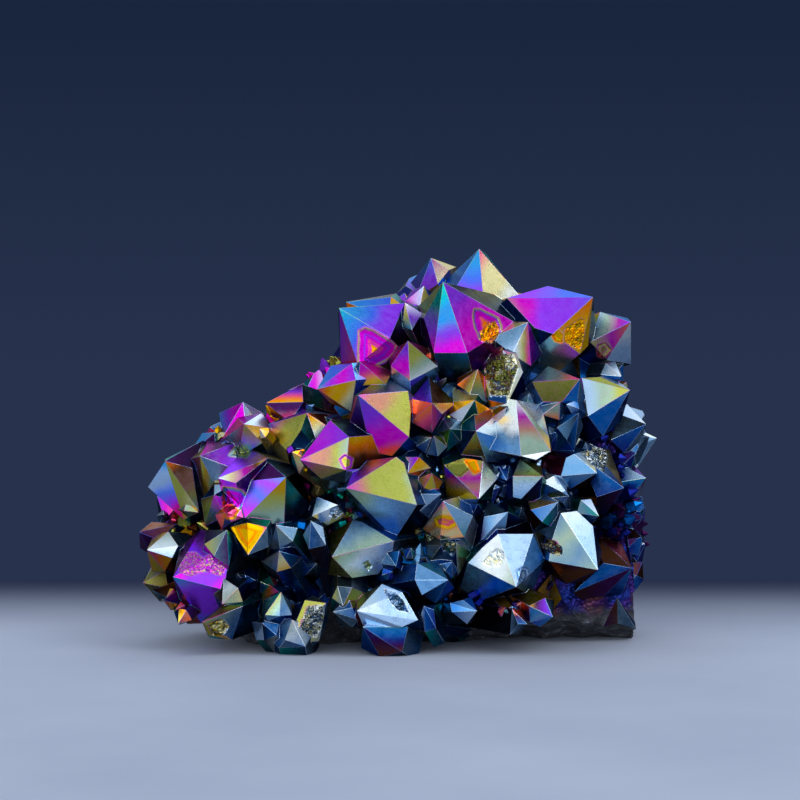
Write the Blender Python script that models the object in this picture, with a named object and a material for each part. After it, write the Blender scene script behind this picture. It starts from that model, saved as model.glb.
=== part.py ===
"""Aura quartz cluster: a crust of quartz points fused to the lump of rock that they grew on.

Lengths are millimetres and angles degrees up to the last step, which turns the finished solid into metres.
+X is to the right seen from the front, +Y is away from the front, +Z is up, and z = 0 is the table.
"""

import collections
import math
import random

import bmesh
import bpy
from mathutils import Vector
from mathutils.bvhtree import BVHTree

# The show side is laid out as it is seen from one sight point. A place on the layout is (across, height),
# both in millimetres on a plane that is square to the sight direction and passes through the cluster.
SIGHT_DISTANCE = 600.0
SIGHT_TILT = math.radians(3.5)
SIGHT_MIDDLE = Vector((0.0, 0.0, 48.6))
LAYOUT_MIDDLE = 51.0

RIGHT = Vector((1.0, 0.0, 0.0))
FORWARD = Vector((0.0, math.cos(SIGHT_TILT), -math.sin(SIGHT_TILT)))
UPWARD = Vector((0.0, math.sin(SIGHT_TILT), math.cos(SIGHT_TILT)))
SIGHT_POINT = SIGHT_MIDDLE - FORWARD * SIGHT_DISTANCE

# How far back the tips of the show side stand: it leans back upwards and turns back at both ends.
FRONT_AT_BASE = -22.0
LEAN_BACK = 0.20
RIGHT_TURN = (30.0, 14.0)
LEFT_TURN = (-30.0, 8.0)
TURN_WIDTH = 22.0

# Quartz: the cap faces of a point stand 38.2 degrees off its axis, so the ridges between them stand 42.3.
CAP_SLOPE = math.radians(38.2)
RIDGE_ANGLE = math.radians(42.3)
RIDGE_STEP = math.radians(60.0)

# A ridge's foot lies no nearer to the viewer than this against its tip, and no deeper than this many times
# its distance from the tip as seen on the layout.
NEAREST_RIDGE = -3.0
DEEPEST_RIDGE = 1.3

# A crystal's root is long enough to be this far inside the rock, plus a part of its girth.
SHORTEST_ROOT = 4
LONGEST_ROOT = 26
ROOT_GRIP = 1.5
ROOT_GIRTH_PART = 0.35

# The rock lies this far behind the tips of the show side, and is drawn a skin's depth below the table
# before its base is ground flat.
CRUST = 12.5
BASE_SKIN = 0.35

SEED = 41
METRE = 0.001
MERGE_DISTANCE = 0.0005
FLAT_ANGLE = math.radians(0.3)

# name, place of the tip, how far the tip stands out of the show side, lean of the axis off the line of
# sight, direction of that lean (0 right, 90 up, 180 left), and the rim: the feet of the ridges that show,
# in order round the point. edge(...) is a corner of one cap face between two ridges.
Crystal = collections.namedtuple("Crystal", "name tip out lean clock rim")


def edge(across, height):
    """A corner that lies on the cap face between the ridges before and after it."""
    return (across, height, "edge")


SHOW_SIDE = [
    Crystal("crown", (8.6, 74.6), 1.0, 50, 105, [
        (4.8, 67.4), (6.8, 60.4), (13.4, 60.4), (23.2, 66.4), (21.2, 71.6)]),
    Crystal("crown_back", (15.8, 81.2), -12.0, 60, 95, [(8.0, 73.8), (16.8, 70.2), (23.8, 72.0)]),
    Crystal("far_left_blue", (6.2, 79.4), -20.0, 55, 105, [
        (-0.4, 71.4), (3.0, 71.0), (7.6, 74.2), (9.8, 77.0)]),
    Crystal("low_back", (4.8, 73.8), -14.0, 50, 80, [(0.6, 70.4), (4.0, 69.8), (6.0, 71.2)]),
    Crystal("violet_nub", (1.0, 70.4), -5.0, 60, 115, [(0.4, 65.6), (2.4, 65.0), (4.4, 68.4)]),
    Crystal("teal_corner", (-12.2, 69.4), -1.0, 55, 135, [
        (-11.8, 58.2), (-8.4, 58.0), (-2.0, 63.4), (1.0, 70.4)]),
    Crystal("corner_back", (-1.8, 71.6), -12.0, 60, 95, [(-10.8, 70.6), (-4.0, 68.6), (1.6, 69.8)]),
    Crystal("right_violet", (38.6, 71.6), -2.0, 55, 40, [
        (29.6, 73.8), (21.4, 71.4), edge(27.0, 65.4), (30.6, 64.2), (36.0, 60.2), (37.6, 61.8)]),
    Crystal("right_pale", (46.2, 66.6), -4.0, 45, 20, [
        (40.0, 68.6), (38.0, 62.6), (41.4, 59.0), (46.2, 58.2)]),
    Crystal("between_white", (25.6, 66.6), -3.0, 50, 60, [(22.4, 60.2), (26.2, 57.8), (28.4, 60.2)]),
    Crystal("broken_glass", (20.6, 61.0), 0.0, 40, 100, [
        (16.0, 56.6), (17.6, 51.0), (21.4, 50.2), (24.6, 56.6), (23.4, 60.2)]),
    Crystal("gold_wedge", (15.6, 57.2), -3.0, 45, 75, [
        (11.6, 56.4), (14.0, 52.2), (17.4, 50.6), (17.4, 55.0)]),
    Crystal("olive_pink", (36.0, 55.2), -1.0, 45, 40, [
        (29.6, 57.8), (26.4, 54.6), edge(28.6, 50.6), (32.4, 50.6), (35.4, 49.6)]),
    Crystal("green_right", (46.0, 53.0), 0.0, 55, 20, [
        (40.0, 55.6), (36.4, 55.4), (37.6, 47.8), (40.6, 43.8)]),
    Crystal("olive_block", (32.0, 50.6), -3.0, 40, 60, [
        (28.2, 50.2), (28.4, 48.0), (31.8, 47.0), (35.2, 48.8)]),
    Crystal("dark_slab", (35.8, 48.4), -3.0, 50, 50, [
        (32.4, 48.0), (33.4, 43.0), (34.8, 40.8), (36.6, 45.8)]),
    Crystal("blue_wedge", (32.2, 44.8), -5.0, 40, 25, [(29.8, 41.8), (31.2, 40.2), (34.2, 40.4)]),
    Crystal("dark_flank", (49.2, 46.2), -6.0, 55, 15, [
        (45.4, 50.2), (43.8, 48.2), (42.2, 43.0), (44.8, 40.4)]),
    Crystal("far_right", (51.4, 43.4), -20.0, 80, 20, [(48.0, 45.0), (45.4, 41.0), (47.4, 37.4)]),
    Crystal("sparkle", (44.8, 33.4), -2.0, 50, 0, [
        (41.2, 43.0), (36.6, 43.6), (35.6, 40.2), (39.4, 31.6)]),
    Crystal("flank_small", (49.2, 35.4), -8.0, 50, 15, [(43.2, 38.8), (44.0, 34.6), (46.4, 31.8)]),
    Crystal("pale_trap", (39.4, 36.4), 0.0, 45, 350, [
        (34.8, 40.2), edge(33.2, 39.4), (32.2, 35.8), (34.0, 33.2)]),
    Crystal("white_sliver", (33.8, 31.8), -2.0, 35, 30, [
        (32.0, 34.6), (29.8, 33.8), (29.8, 31.4), (32.6, 30.4)]),
    Crystal("brown_blue", (31.6, 30.6), -1.0, 40, 45, [
        (28.2, 32.6), (25.4, 31.4), (26.2, 29.0), (28.4, 26.6)]),
    Crystal("dark_pale", (39.8, 27.8), -3.0, 45, 350, [
        (38.2, 31.2), (36.2, 31.0), (35.4, 28.4), (38.6, 26.6)]),
    Crystal("mid_gold", (1.6, 62.8), -1.0, 45, 95, [
        (-1.8, 57.8), (2.0, 54.8), (7.6, 57.8), (6.4, 61.2)]),
    Crystal("arc_magenta", (-8.0, 58.6), -1.0, 40, 105, [
        (-8.4, 53.8), (-2.8, 54.2), (-1.4, 56.8), (-5.0, 59.4)]),
    Crystal("magenta_big", (-8.4, 52.0), 2.0, 38, 140, [
        (-10.6, 44.2), (-5.8, 40.6), edge(-1.6, 39.8), (1.8, 43.6), edge(2.2, 48.6), (1.6, 52.8)]),
    Crystal("violet_red", (6.4, 50.4), 1.0, 20, 90, [
        (5.8, 55.6), (2.2, 51.2), (6.4, 44.4), (8.4, 48.2), (11.2, 50.4)]),
    Crystal("grey_knot", (10.0, 45.2), -1.0, 15, 110, [
        (8.0, 48.0), (6.8, 44.2), (9.0, 40.4), (12.0, 42.8), (11.6, 47.0)]),
    Crystal("grey_foot", (6.8, 43.8), -2.0, 30, 110, [(4.0, 41.6), (7.6, 39.8), (9.4, 41.6)]),
    Crystal("gold_white", (15.0, 51.0), -1.0, 25, 60, [
        (10.4, 54.0), (10.6, 50.6), (9.8, 48.0), (12.2, 46.6)]),
    Crystal("white_blue", (15.2, 44.8), 1.0, 12, 110, [
        (14.6, 50.2), (20.6, 49.0), (22.8, 42.6), edge(23.4, 40.6), edge(21.6, 38.6), (17.4, 38.6),
        (12.2, 40.0)]),
    Crystal("stepped_gold", (21.2, 49.4), -2.0, 35, 85, [
        (20.8, 46.2), (23.8, 46.2), (24.8, 48.4), (22.8, 51.0)]),
    Crystal("cream_violet", (29.8, 43.6), 1.0, 45, 350, [
        (28.2, 50.0), (23.2, 51.0), (23.8, 45.2), edge(24.2, 39.8), edge(27.2, 39.0), (30.2, 40.8)]),
    Crystal("olive_violet", (15.8, 31.2), 1.0, 25, 290, [
        (19.6, 35.4), (16.6, 38.8), edge(12.8, 39.4), (8.8, 38.0), (9.4, 31.0)]),
    Crystal("orange_mid", (1.4, 36.2), -1.0, 25, 240, [
        (1.0, 39.6), (3.8, 39.6), (6.2, 37.4), (3.4, 34.2)]),
    Crystal("gold_small", (6.4, 36.4), -1.0, 30, 75, [(4.8, 33.4), (7.4, 32.6), (8.6, 34.6)]),
    Crystal("grey_wedge", (8.2, 32.2), -2.0, 35, 10, [
        (3.2, 32.2), (4.0, 28.8), (6.2, 27.0), (9.2, 30.0)]),
    Crystal("orange_peak", (8.6, 30.8), 1.0, 35, 120, [(4.6, 25.2), (12.8, 23.6), (14.6, 27.8)]),
    Crystal("blue_side", (15.6, 30.4), -2.0, 20, 60, [(10.0, 30.8), (14.0, 27.0), (16.8, 28.6)]),
    Crystal("chipped", (11.2, 22.4), -1.0, 15, 60, [
        (5.0, 24.4), (6.0, 19.0), (11.6, 15.8), (14.2, 20.6), (13.2, 23.8)]),
    Crystal("blue_blob", (10.4, 18.6), -3.0, 35, 45, [
        (4.8, 20.0), (6.0, 17.8), (10.4, 15.4), (11.6, 17.0)]),
    Crystal("pale_low", (9.6, 15.0), 1.0, 40, 10, [
        (3.4, 18.4), (3.0, 15.0), (4.4, 12.0), (9.4, 11.4), (10.8, 13.4)]),
    Crystal("blue_low", (15.4, 8.8), -2.0, 40, 0, [
        (12.6, 11.0), (10.0, 10.4), (10.4, 8.6), (13.4, 6.2)]),
    Crystal("white_big", (23.2, 13.6), 3.0, 30, 285, [
        (29.0, 19.0), (26.6, 24.2), (19.6, 24.2), edge(16.4, 21.4), (13.6, 18.4), edge(12.0, 13.4),
        (16.0, 10.8)]),
    Crystal("pale_blue", (21.6, 28.6), 0.0, 35, 45, [
        (16.8, 27.6), (16.2, 23.0), (20.8, 23.6), (25.4, 26.8)]),
    Crystal("cream_big", (39.6, 17.0), 2.0, 45, 330, [
        (38.6, 25.8), edge(35.4, 28.8), (32.2, 28.4), edge(30.4, 23.0), (29.8, 18.8), (33.2, 14.2)]),
    Crystal("purple_foot", (46.4, 17.4), -5.0, 45, 0, [
        (40.6, 18.4), (34.8, 12.6), (36.6, 7.6), (42.6, 7.4)]),
    Crystal("ember_a", (30.6, 7.6), 0.0, 45, 330, [
        (29.0, 11.4), (25.8, 9.8), (26.0, 6.6), (28.0, 5.6)]),
    Crystal("ember_b", (25.4, 6.2), 0.0, 50, 350, [(23.8, 10.4), (22.4, 9.2), (23.6, 6.2)]),
    Crystal("ember_c", (23.0, 7.8), -1.0, 35, 310, [(22.4, 9.8), (20.8, 8.8), (21.4, 7.4)]),
    Crystal("small_pale", (20.0, 33.6), -3.0, 30, 15, [(19.2, 35.4), (22.2, 35.4), (20.6, 32.0)]),
    Crystal("small_peak", (21.2, 38.0), -3.0, 40, 60, [(19.2, 35.8), (22.2, 35.8)]),
    Crystal("right_grey", (28.6, 35.8), 0.0, 35, 25, [
        (24.0, 39.2), (22.6, 35.8), edge(22.6, 31.6), (24.2, 31.2)]),
    Crystal("violet_point", (-20.0, 39.0), 2.0, 50, 185, [
        (-14.0, 47.0), (-10.2, 43.6), edge(-8.4, 39.8), edge(-11.0, 34.4), (-15.8, 35.2)]),
    Crystal("yellow_big", (-10.8, 33.4), 2.0, 40, 185, [
        (-8.6, 38.6), (-0.8, 39.6), edge(0.8, 38.4), (3.4, 30.0), (-1.0, 23.2), (-7.8, 29.0)]),
    Crystal("gold_left", (-16.6, 53.2), -2.0, 55, 185, [
        (-9.6, 58.4), (-8.8, 55.0), (-9.8, 48.6), (-14.0, 50.4)]),
    Crystal("strip_back", (-26.8, 50.4), -10.0, 60, 160, [(-19.6, 54.2), (-19.4, 50.6), (-26.0, 48.6)]),
    Crystal("olive_left", (-18.6, 48.4), -2.0, 45, 100, [(-27.6, 45.8), (-22.6, 40.8), (-19.8, 45.0)]),
    Crystal("cream_edge", (-13.8, 47.2), -4.0, 40, 100, [(-16.4, 48.2), (-18.2, 44.6), (-15.6, 45.0)]),
    Crystal("amber_chip", (-21.6, 40.6), -2.0, 45, 145, [(-19.2, 41.2), (-21.6, 38.6), (-20.2, 36.2)]),
    Crystal("mauve_back", (-31.4, 50.6), -12.0, 48, 90, [
        (-36.2, 48.4), (-35.6, 43.4), (-30.8, 45.4), (-28.2, 46.2)]),
    Crystal("chevron", (-31.2, 46.2), -5.0, 30, 120, [(-36.2, 42.6), (-32.4, 39.4), (-27.6, 42.4)]),
    Crystal("tiny_violet", (-38.0, 45.6), -14.0, 45, 140, [
        (-39.6, 43.0), (-38.8, 40.4), (-36.8, 41.0)]),
    Crystal("tiny_cream", (-40.0, 42.8), -12.0, 45, 150, [(-42.4, 39.8), (-40.0, 39.0), (-38.6, 40.0)]),
    Crystal("violet_roof", (-36.4, 35.4), 0.0, 48, 165, [
        (-30.8, 41.6), (-26.4, 39.4), (-32.8, 34.4), (-35.8, 33.0)]),
    Crystal("brown_twin", (-40.0, 39.8), -4.0, 40, 145, [
        (-43.8, 38.6), (-41.6, 33.0), (-39.0, 31.0), (-37.4, 34.6)]),
    Crystal("grey_twin", (-37.6, 40.6), -7.0, 40, 150, [(-39.2, 39.6), (-38.4, 35.0), (-34.2, 38.8)]),
    Crystal("teal_left", (-47.0, 38.8), -1.0, 40, 150, [
        (-50.4, 33.6), (-43.2, 27.0), (-40.2, 28.8), (-41.6, 37.4)]),
    Crystal("bronze_big", (-22.8, 35.6), 2.0, 30, 60, [
        (-26.4, 38.6), (-35.4, 34.2), edge(-34.4, 29.0), (-31.0, 27.4), (-23.2, 25.8), (-17.6, 29.4)]),
    Crystal("magenta_chip", (-37.2, 32.0), -2.0, 30, 145, [
        (-39.8, 31.2), (-39.0, 25.8), (-35.8, 31.6)]),
    Crystal("pink_chip", (-34.8, 28.6), -1.0, 30, 145, [(-37.0, 28.0), (-35.6, 25.0), (-33.8, 26.6)]),
    Crystal("gold_down", (-30.4, 20.0), 1.0, 35, 240, [
        (-34.0, 25.6), edge(-30.0, 27.2), (-26.6, 25.6), (-26.4, 21.6)]),
    Crystal("etched_violet", (-45.4, 15.6), 1.0, 45, 180, [
        (-43.8, 21.6), (-39.8, 25.2), (-35.2, 13.0), edge(-35.6, 10.2), (-39.8, 6.4), (-42.6, 6.2)]),
    Crystal("side_grey", (-34.6, 25.0), -2.0, 45, 80, [
        (-38.8, 25.0), (-37.2, 19.8), (-34.2, 17.8), (-33.4, 22.0)]),
    Crystal("slit_pale", (-35.6, 10.2), -2.0, 36, 220, [(-38.6, 13.8), (-32.4, 13.4), (-31.4, 10.6)]),
    Crystal("olive_round", (-38.4, 4.0), 0.0, 45, 200, [
        (-39.6, 6.6), (-35.2, 10.0), (-31.4, 9.8), (-33.6, 3.0)]),
    Crystal("white_left", (-50.6, 21.0), -1.0, 45, 176, [
        (-49.4, 23.8), (-44.4, 21.8), (-45.6, 19.4), (-49.6, 16.6)]),
    Crystal("rust_left", (-52.2, 24.6), -2.0, 48, 155, [
        (-49.6, 26.6), (-44.8, 26.2), (-48.4, 23.0), (-52.0, 21.4)]),
    Crystal("left_low", (-51.4, 14.4), -9.0, 45, 185, [(-49.8, 17.4), (-46.4, 13.4), (-48.0, 10.6)]),
    Crystal("pale_leaf", (-24.2, 20.8), 0.0, 35, 120, [(-27.8, 18.8), (-24.6, 16.6), (-21.8, 17.4)]),
    Crystal("pale_stub", (-24.8, 26.0), -1.0, 42, 130, [(-26.2, 24.8), (-26.0, 21.0), (-24.0, 21.4)]),
    Crystal("sky_stub", (-17.8, 26.8), -1.0, 45, 110, [
        (-19.4, 24.0), (-18.2, 21.2), (-14.8, 22.0), (-15.4, 25.6)]),
    Crystal("sky_pale", (-12.4, 30.0), -1.0, 25, 30, [
        (-16.6, 31.6), (-17.6, 27.8), (-14.4, 26.0), (-10.8, 27.8)]),
    Crystal("moss_big", (-13.6, 19.6), 1.0, 30, 190, [
        (-9.4, 27.0), edge(-7.6, 26.6), (-1.2, 22.8), edge(-1.6, 19.8), edge(-4.4, 16.2), (-9.6, 15.4)]),
    Crystal("leaf_a", (-23.8, 12.6), 0.0, 45, 80, [
        (-27.0, 8.0), edge(-26.4, 6.8), (-21.6, 8.0), (-21.8, 10.4)]),
    Crystal("blue_stub", (-21.6, 7.0), 0.0, 40, 100, [
        (-25.6, 7.4), (-25.6, 2.8), edge(-24.2, 1.4), (-23.0, 3.0)]),
    Crystal("striped_gold", (-14.8, 10.4), 0.0, 45, 40, [
        (-19.0, 11.0), (-21.8, 4.2), edge(-20.8, 2.4), (-16.2, 2.8), (-14.4, 6.8)]),
    Crystal("tiny_blue", (-27.6, 6.4), -1.0, 40, 130, [(-29.6, 6.6), (-28.8, 3.0), (-27.2, 3.0)]),
    Crystal("olive_shard", (-11.4, 9.8), -1.0, 25, 270, [
        (-13.6, 11.4), (-14.0, 8.8), (-10.8, 8.6), (-6.4, 12.2)]),
    Crystal("slate_shard", (-13.4, 8.6), -1.0, 45, 180, [(-9.6, 5.6), (-8.2, 7.0), (-9.6, 9.4)]),
    Crystal("snow_big", (-8.6, 8.8), 2.0, 35, 170, [
        (-3.6, 14.2), (0.4, 12.6), (3.6, 7.0), (0.4, 5.6), (-7.2, 5.6), (-8.0, 7.4)]),
    Crystal("snow_skirt", (-7.4, 5.6), 1.0, 40, 150, [
        (1.6, 5.6), (0.4, 0.6), (-4.0, -0.4), (-7.8, 1.4)]),
    Crystal("green_dark", (-24.2, 12.6), -2.0, 35, 90, [
        (-27.6, 15.6), (-29.6, 11.0), (-27.6, 7.4), (-24.0, 11.0)]),
    Crystal("ultra_small", (-0.8, 17.8), -3.0, 25, 295, [(-2.8, 16.0), (0.8, 19.0), (0.4, 16.8)]),
    Crystal("gold_bit", (-48.2, 11.6), -6.0, 50, 200, [(-49.6, 13.0), (-47.2, 13.0), (-46.4, 11.0)]),
    Crystal("pink_bit", (-45.8, 9.2), -5.0, 45, 215, [(-47.4, 11.0), (-45.2, 11.4), (-44.0, 9.4)]),
    Crystal("amber_bit", (-44.4, 6.2), -4.0, 45, 220, [(-45.2, 8.6), (-42.8, 9.0), (-41.6, 7.0)]),
    Crystal("blue_fleck", (2.2, 21.4), -3.0, 30, 80, [(0.4, 21.0), (1.2, 19.4), (3.2, 20.4)]),
    Crystal("dark_low", (4.8, 9.8), 0.0, 40, 120, [(4.2, 8.2), (5.0, 4.6), (7.2, 5.4), (6.8, 9.0)]),
]

# The outline that the whole cluster shows to the sight point, from the front left foot up and over.
OUTLINE = [
    (-28.0, 0.0), (-38.0, 4.0), (-44.0, 6.6), (-46.6, 11.0), (-50.4, 13.0), (-51.8, 17.0), (-50.4, 21.0),
    (-52.6, 24.5), (-49.4, 28.4), (-50.4, 34.5), (-48.0, 38.6), (-43.0, 39.4), (-40.8, 43.0), (-38.4, 46.0),
    (-36.2, 47.0), (-35.6, 50.0), (-31.4, 51.0), (-27.6, 49.0), (-26.4, 51.0), (-20.0, 55.0), (-16.0, 59.0),
    (-11.0, 60.4), (-12.4, 69.8), (-1.0, 72.0), (1.0, 77.6), (5.4, 80.0), (9.4, 77.0), (15.4, 81.4),
    (23.2, 73.4), (29.0, 74.4), (38.6, 73.6), (39.8, 68.6), (46.6, 67.0), (46.8, 56.0), (49.0, 49.6),
    (51.6, 43.4), (49.6, 35.6), (50.0, 27.0), (49.4, 17.0), (47.4, 14.0), (47.6, 3.0),
]

# Rock: across, lowest and highest height, and how far back it reaches, at stations from left to right.
ROCK_STATIONS = [
    (-47.0, 14.0, 27.0, 9.0),
    (-42.0, 8.5, 32.0, 15.0),
    (-35.0, 2.5, 37.0, 20.0),
    (-28.0, -1.5, 41.0, 23.0),
    (-12.0, -2.0, 54.0, 26.5),
    (0.0, -2.0, 65.0, 28.0),
    (12.0, -2.0, 69.5, 28.5),
    (24.0, -2.0, 66.0, 28.0),
    (34.0, -2.0, 63.0, 27.0),
    (41.0, -2.0, 57.0, 25.0),
    (44.0, -2.0, 46.0, 23.0),
    (47.4, -1.5, 15.0, 19.0),
]
ROCK_RINGS = 27
ROCK_SIDES = 20

# The rings are squarer than ellipses, and their corners are broken off their places by up to this much.
ROCK_SQUARENESS = 0.78
ROCK_JOLT = (0.9, 1.3, 1.3)

# The rock's front right edge stands clear of the table: a low arch that starts between these two places
# across, closes between these two depths, and is this high.
ARCH_START = (15.0, 22.0)
ARCH_BACK = (6.0, -1.0)
ARCH_HEIGHT = 3.4

# Left of the arch the rock's front foot reaches this much further forward, up to this height.
FOOT_REACH = 4.5
FOOT_HEIGHT = 8.0

# Points that grow on the rest of the rock: how many, girth, how far each stands out of the rock, and the
# least that the rock has to face right there. The small ones are a crust on the right end only.
GROWN_SIZES = [(14, 7.4, 10.5, -1.0), (25, 5.4, 8.0, -1.0), (34, 3.9, 6.2, -1.0), (18, 2.7, 4.0, 0.6)]
GROWN_TRIES = 4000
GROWN_SPREAD = 0.28
GROWN_SPACING = 0.88
SHOW_TIP_REACH = 4.0

# Low on its back the rock is bare, where it broke off the wall of its cavity.
BARE_BACK_HEIGHT = 15.0


def ramp(value, start, end):
    """0 up to start, 1 past end, and smooth between them."""
    t = min(max((value - start) / (end - start), 0.0), 1.0)
    return t * t * (3.0 - 2.0 * t)


def sight_ray(across, height):
    """The direction from the sight point through a place on the layout."""
    return (FORWARD * SIGHT_DISTANCE + RIGHT * across + UPWARD * (height - LAYOUT_MIDDLE)).normalized()


def layout_place(point):
    """Where a point of the cluster is seen on the layout."""
    offset = point - SIGHT_POINT
    scale = SIGHT_DISTANCE / offset.dot(FORWARD)
    return offset.dot(RIGHT) * scale, offset.dot(UPWARD) * scale + LAYOUT_MIDDLE


def show_depth(x, z):
    """The y at which tips of the show side stand."""
    depth = FRONT_AT_BASE + LEAN_BACK * z
    if x > RIGHT_TURN[0]:
        depth += RIGHT_TURN[1] * ((x - RIGHT_TURN[0]) / TURN_WIDTH) ** 2
    if x < LEFT_TURN[0]:
        depth += LEFT_TURN[1] * ((x - LEFT_TURN[0]) / TURN_WIDTH) ** 2
    return depth


def placed_tip(crystal):
    """The tip of a crystal: on its line of sight, standing out of the show side by its own amount."""
    ray = sight_ray(*crystal.tip)
    tip = SIGHT_POINT + ray * SIGHT_DISTANCE
    for _ in range(4):
        y = show_depth(tip.x, tip.z) - crystal.out
        tip = SIGHT_POINT + ray * ((y - SIGHT_POINT.y) / ray.y)
    return tip


def leaning_axis(sight, lean, clock):
    """The axis of a crystal, root to tip, from its lean off the line of sight and the way it leans."""
    across = sight.cross(Vector((0.0, 0.0, 1.0))).normalized()
    upward = across.cross(sight)
    sideways = across * math.cos(math.radians(clock)) + upward * math.sin(math.radians(clock))
    return sideways * math.sin(math.radians(lean)) - sight * math.cos(math.radians(lean))


def level_with(tip, sight, place):
    """The point at this place of the layout that is exactly as far away as the tip."""
    ray = sight_ray(place[0], place[1])
    return SIGHT_POINT + ray * ((tip - SIGHT_POINT).dot(sight) / ray.dot(sight))


def ridge_foot(tip, sight, axis, place):
    """Where the line of sight through this place meets the cone that all ridges of the cap lie on."""
    start = level_with(tip, sight, place)
    ray = (start - SIGHT_POINT).normalized()
    offset = start - tip
    cone = math.cos(RIDGE_ANGLE) ** 2
    drop = -axis.dot(offset)
    slope = -axis.dot(ray)
    a = slope * slope - cone
    b = 2.0 * (drop * slope - cone * offset.dot(ray))
    c = drop * drop - cone * offset.dot(offset)
    inside = b * b - 4.0 * a * c
    depth = -b / (2.0 * a)
    if inside > 0.0:
        root = math.sqrt(inside) / (2.0 * a)
        ahead = [d for d in sorted((depth - root, depth + root)) if drop + d * slope > 0.0]
        depth = ahead[0] if ahead else depth
    return start + ray * min(max(depth, NEAREST_RIDGE), DEEPEST_RIDGE * offset.length)


def on_face(tip, before, after, sight, place):
    """Where the line of sight through this place meets the cap face between two ridges."""
    start = level_with(tip, sight, place)
    ray = (start - SIGHT_POINT).normalized()
    normal = (before - tip).cross(after - tip)
    facing = ray.dot(normal)
    if abs(facing) < 1e-3 * normal.length:
        return start
    depth = (tip - start).dot(normal) / facing
    return start + ray * min(max(depth, NEAREST_RIDGE), DEEPEST_RIDGE * (start - tip).length)


def hidden_feet(tip, axis, feet):
    """Ridge feet for the far side of a cap, at the mean drop and reach of the ones that show."""
    across = axis.orthogonal().normalized()
    around = axis.cross(across)
    turns = sorted(math.atan2((f - tip).dot(around), (f - tip).dot(across)) for f in feet)
    drop = sum((tip - f).dot(axis) for f in feet) / len(feet)
    reach = sum(((f - tip) + axis * (tip - f).dot(axis)).length for f in feet) / len(feet)
    found = []
    for here, following in zip(turns, turns[1:] + [turns[0] + math.tau]):
        missing = round((following - here) / RIDGE_STEP) - 1
        for k in range(1, missing + 1):
            turn = here + (following - here) * k / (missing + 1)
            out = across * math.cos(turn) + around * math.sin(turn)
            foot = tip - axis * drop + out * reach
            for _ in range(8):
                if inside_outline(foot):
                    break
                foot = foot.lerp(tip, 0.2)
            found.append(foot)
    return found


def root_length(skin, middle, axis, girth):
    """How far back along its axis a crystal has to reach for its root to sit in the rock."""
    for length in range(SHORTEST_ROOT, LONGEST_ROOT):
        end = middle - axis * length
        nearest, facing, _, _ = skin.find_nearest(end)
        if (nearest - end).dot(facing) > ROOT_GRIP + ROOT_GIRTH_PART * girth:
            return length
    return SHORTEST_ROOT + ROOT_GRIP


def show_points(crystal, skin):
    """Corner points of a show-side crystal: tip, rim, hidden rim, and the same rim sunk into the rock."""
    tip = placed_tip(crystal)
    sight = (tip - SIGHT_POINT).normalized()
    axis = leaning_axis(sight, crystal.lean, crystal.clock)
    rim = [None if len(place) == 3 else ridge_foot(tip, sight, axis, place) for place in crystal.rim]
    feet = [point for point in rim if point]
    for index, place in enumerate(crystal.rim):
        if rim[index] is None:
            before = next(rim[i] for i in range(index - 1, -1, -1) if len(crystal.rim[i]) == 2)
            after = next(ridge_foot(tip, sight, axis, p) for p in crystal.rim[index:] if len(p) == 2)
            rim[index] = on_face(tip, before, after, sight, place)
    rim += hidden_feet(tip, axis, feet)
    middle = sum(rim, Vector()) / len(rim)
    girth = sum((point - middle).length for point in rim) / len(rim)
    root = root_length(skin, middle, axis, girth)
    return [tip] + rim + [point - axis * root for point in rim]


def hull_mesh(name, points):
    """A closed convex solid round the points."""
    shape = bmesh.new()
    for point in points:
        shape.verts.new(point)
    hull = bmesh.ops.convex_hull(shape, input=shape.verts)
    spare = {item for item in hull["geom_interior"] + hull["geom_unused"] if isinstance(item, bmesh.types.BMVert)}
    bmesh.ops.delete(shape, geom=list(spare), context="VERTS")
    bmesh.ops.dissolve_limit(shape, angle_limit=FLAT_ANGLE, verts=shape.verts, edges=shape.edges)
    return finished(name, shape)


def finished(name, shape):
    """A mesh object from a bmesh, facing outwards."""
    bmesh.ops.recalc_face_normals(shape, faces=shape.faces)
    mesh = bpy.data.meshes.new(name)
    shape.to_mesh(mesh)
    shape.free()
    return bpy.data.objects.new(name, mesh)


def cut(shape, point, outward):
    """Takes away all of a convex solid that lies outside a plane, and closes it."""
    geometry = shape.verts[:] + shape.edges[:] + shape.faces[:]
    sliced = bmesh.ops.bisect_plane(
        shape, geom=geometry, dist=1e-5, plane_co=point, plane_no=outward, clear_outer=True)
    edges = [item for item in sliced["geom_cut"] if isinstance(item, bmesh.types.BMEdge)]
    if edges:
        bmesh.ops.holes_fill(shape, edges=edges, sides=0)


def grown_crystal(name, tip, axis, girth, root, chance):
    """A six-sided point. Its faces grew at unequal rates, so the cap ends in a short ridge, not in one corner."""
    shape = bmesh.new()
    bmesh.ops.create_cube(shape, size=6.0 * girth)
    bmesh.ops.translate(shape, verts=shape.verts, vec=tip - axis * 2.0 * girth)
    across = axis.orthogonal().normalized()
    around = axis.cross(across)
    middle = tip - axis * girth
    twist = chance.uniform(0.0, RIDGE_STEP)
    for side in range(6):
        turn = twist + side * RIDGE_STEP
        outward = across * math.cos(turn) + around * math.sin(turn)
        cut(shape, middle + outward * girth * chance.uniform(0.78, 1.0), outward)
        slope = outward * math.cos(CAP_SLOPE) + axis * math.sin(CAP_SLOPE)
        held_back = chance.uniform(0.0, 0.16) + (side % 2) * chance.uniform(0.0, 0.3)
        cut(shape, tip - axis * girth * held_back, slope)
    cut(shape, tip - axis * (girth + root), -axis)
    return finished(name, shape)


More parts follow.
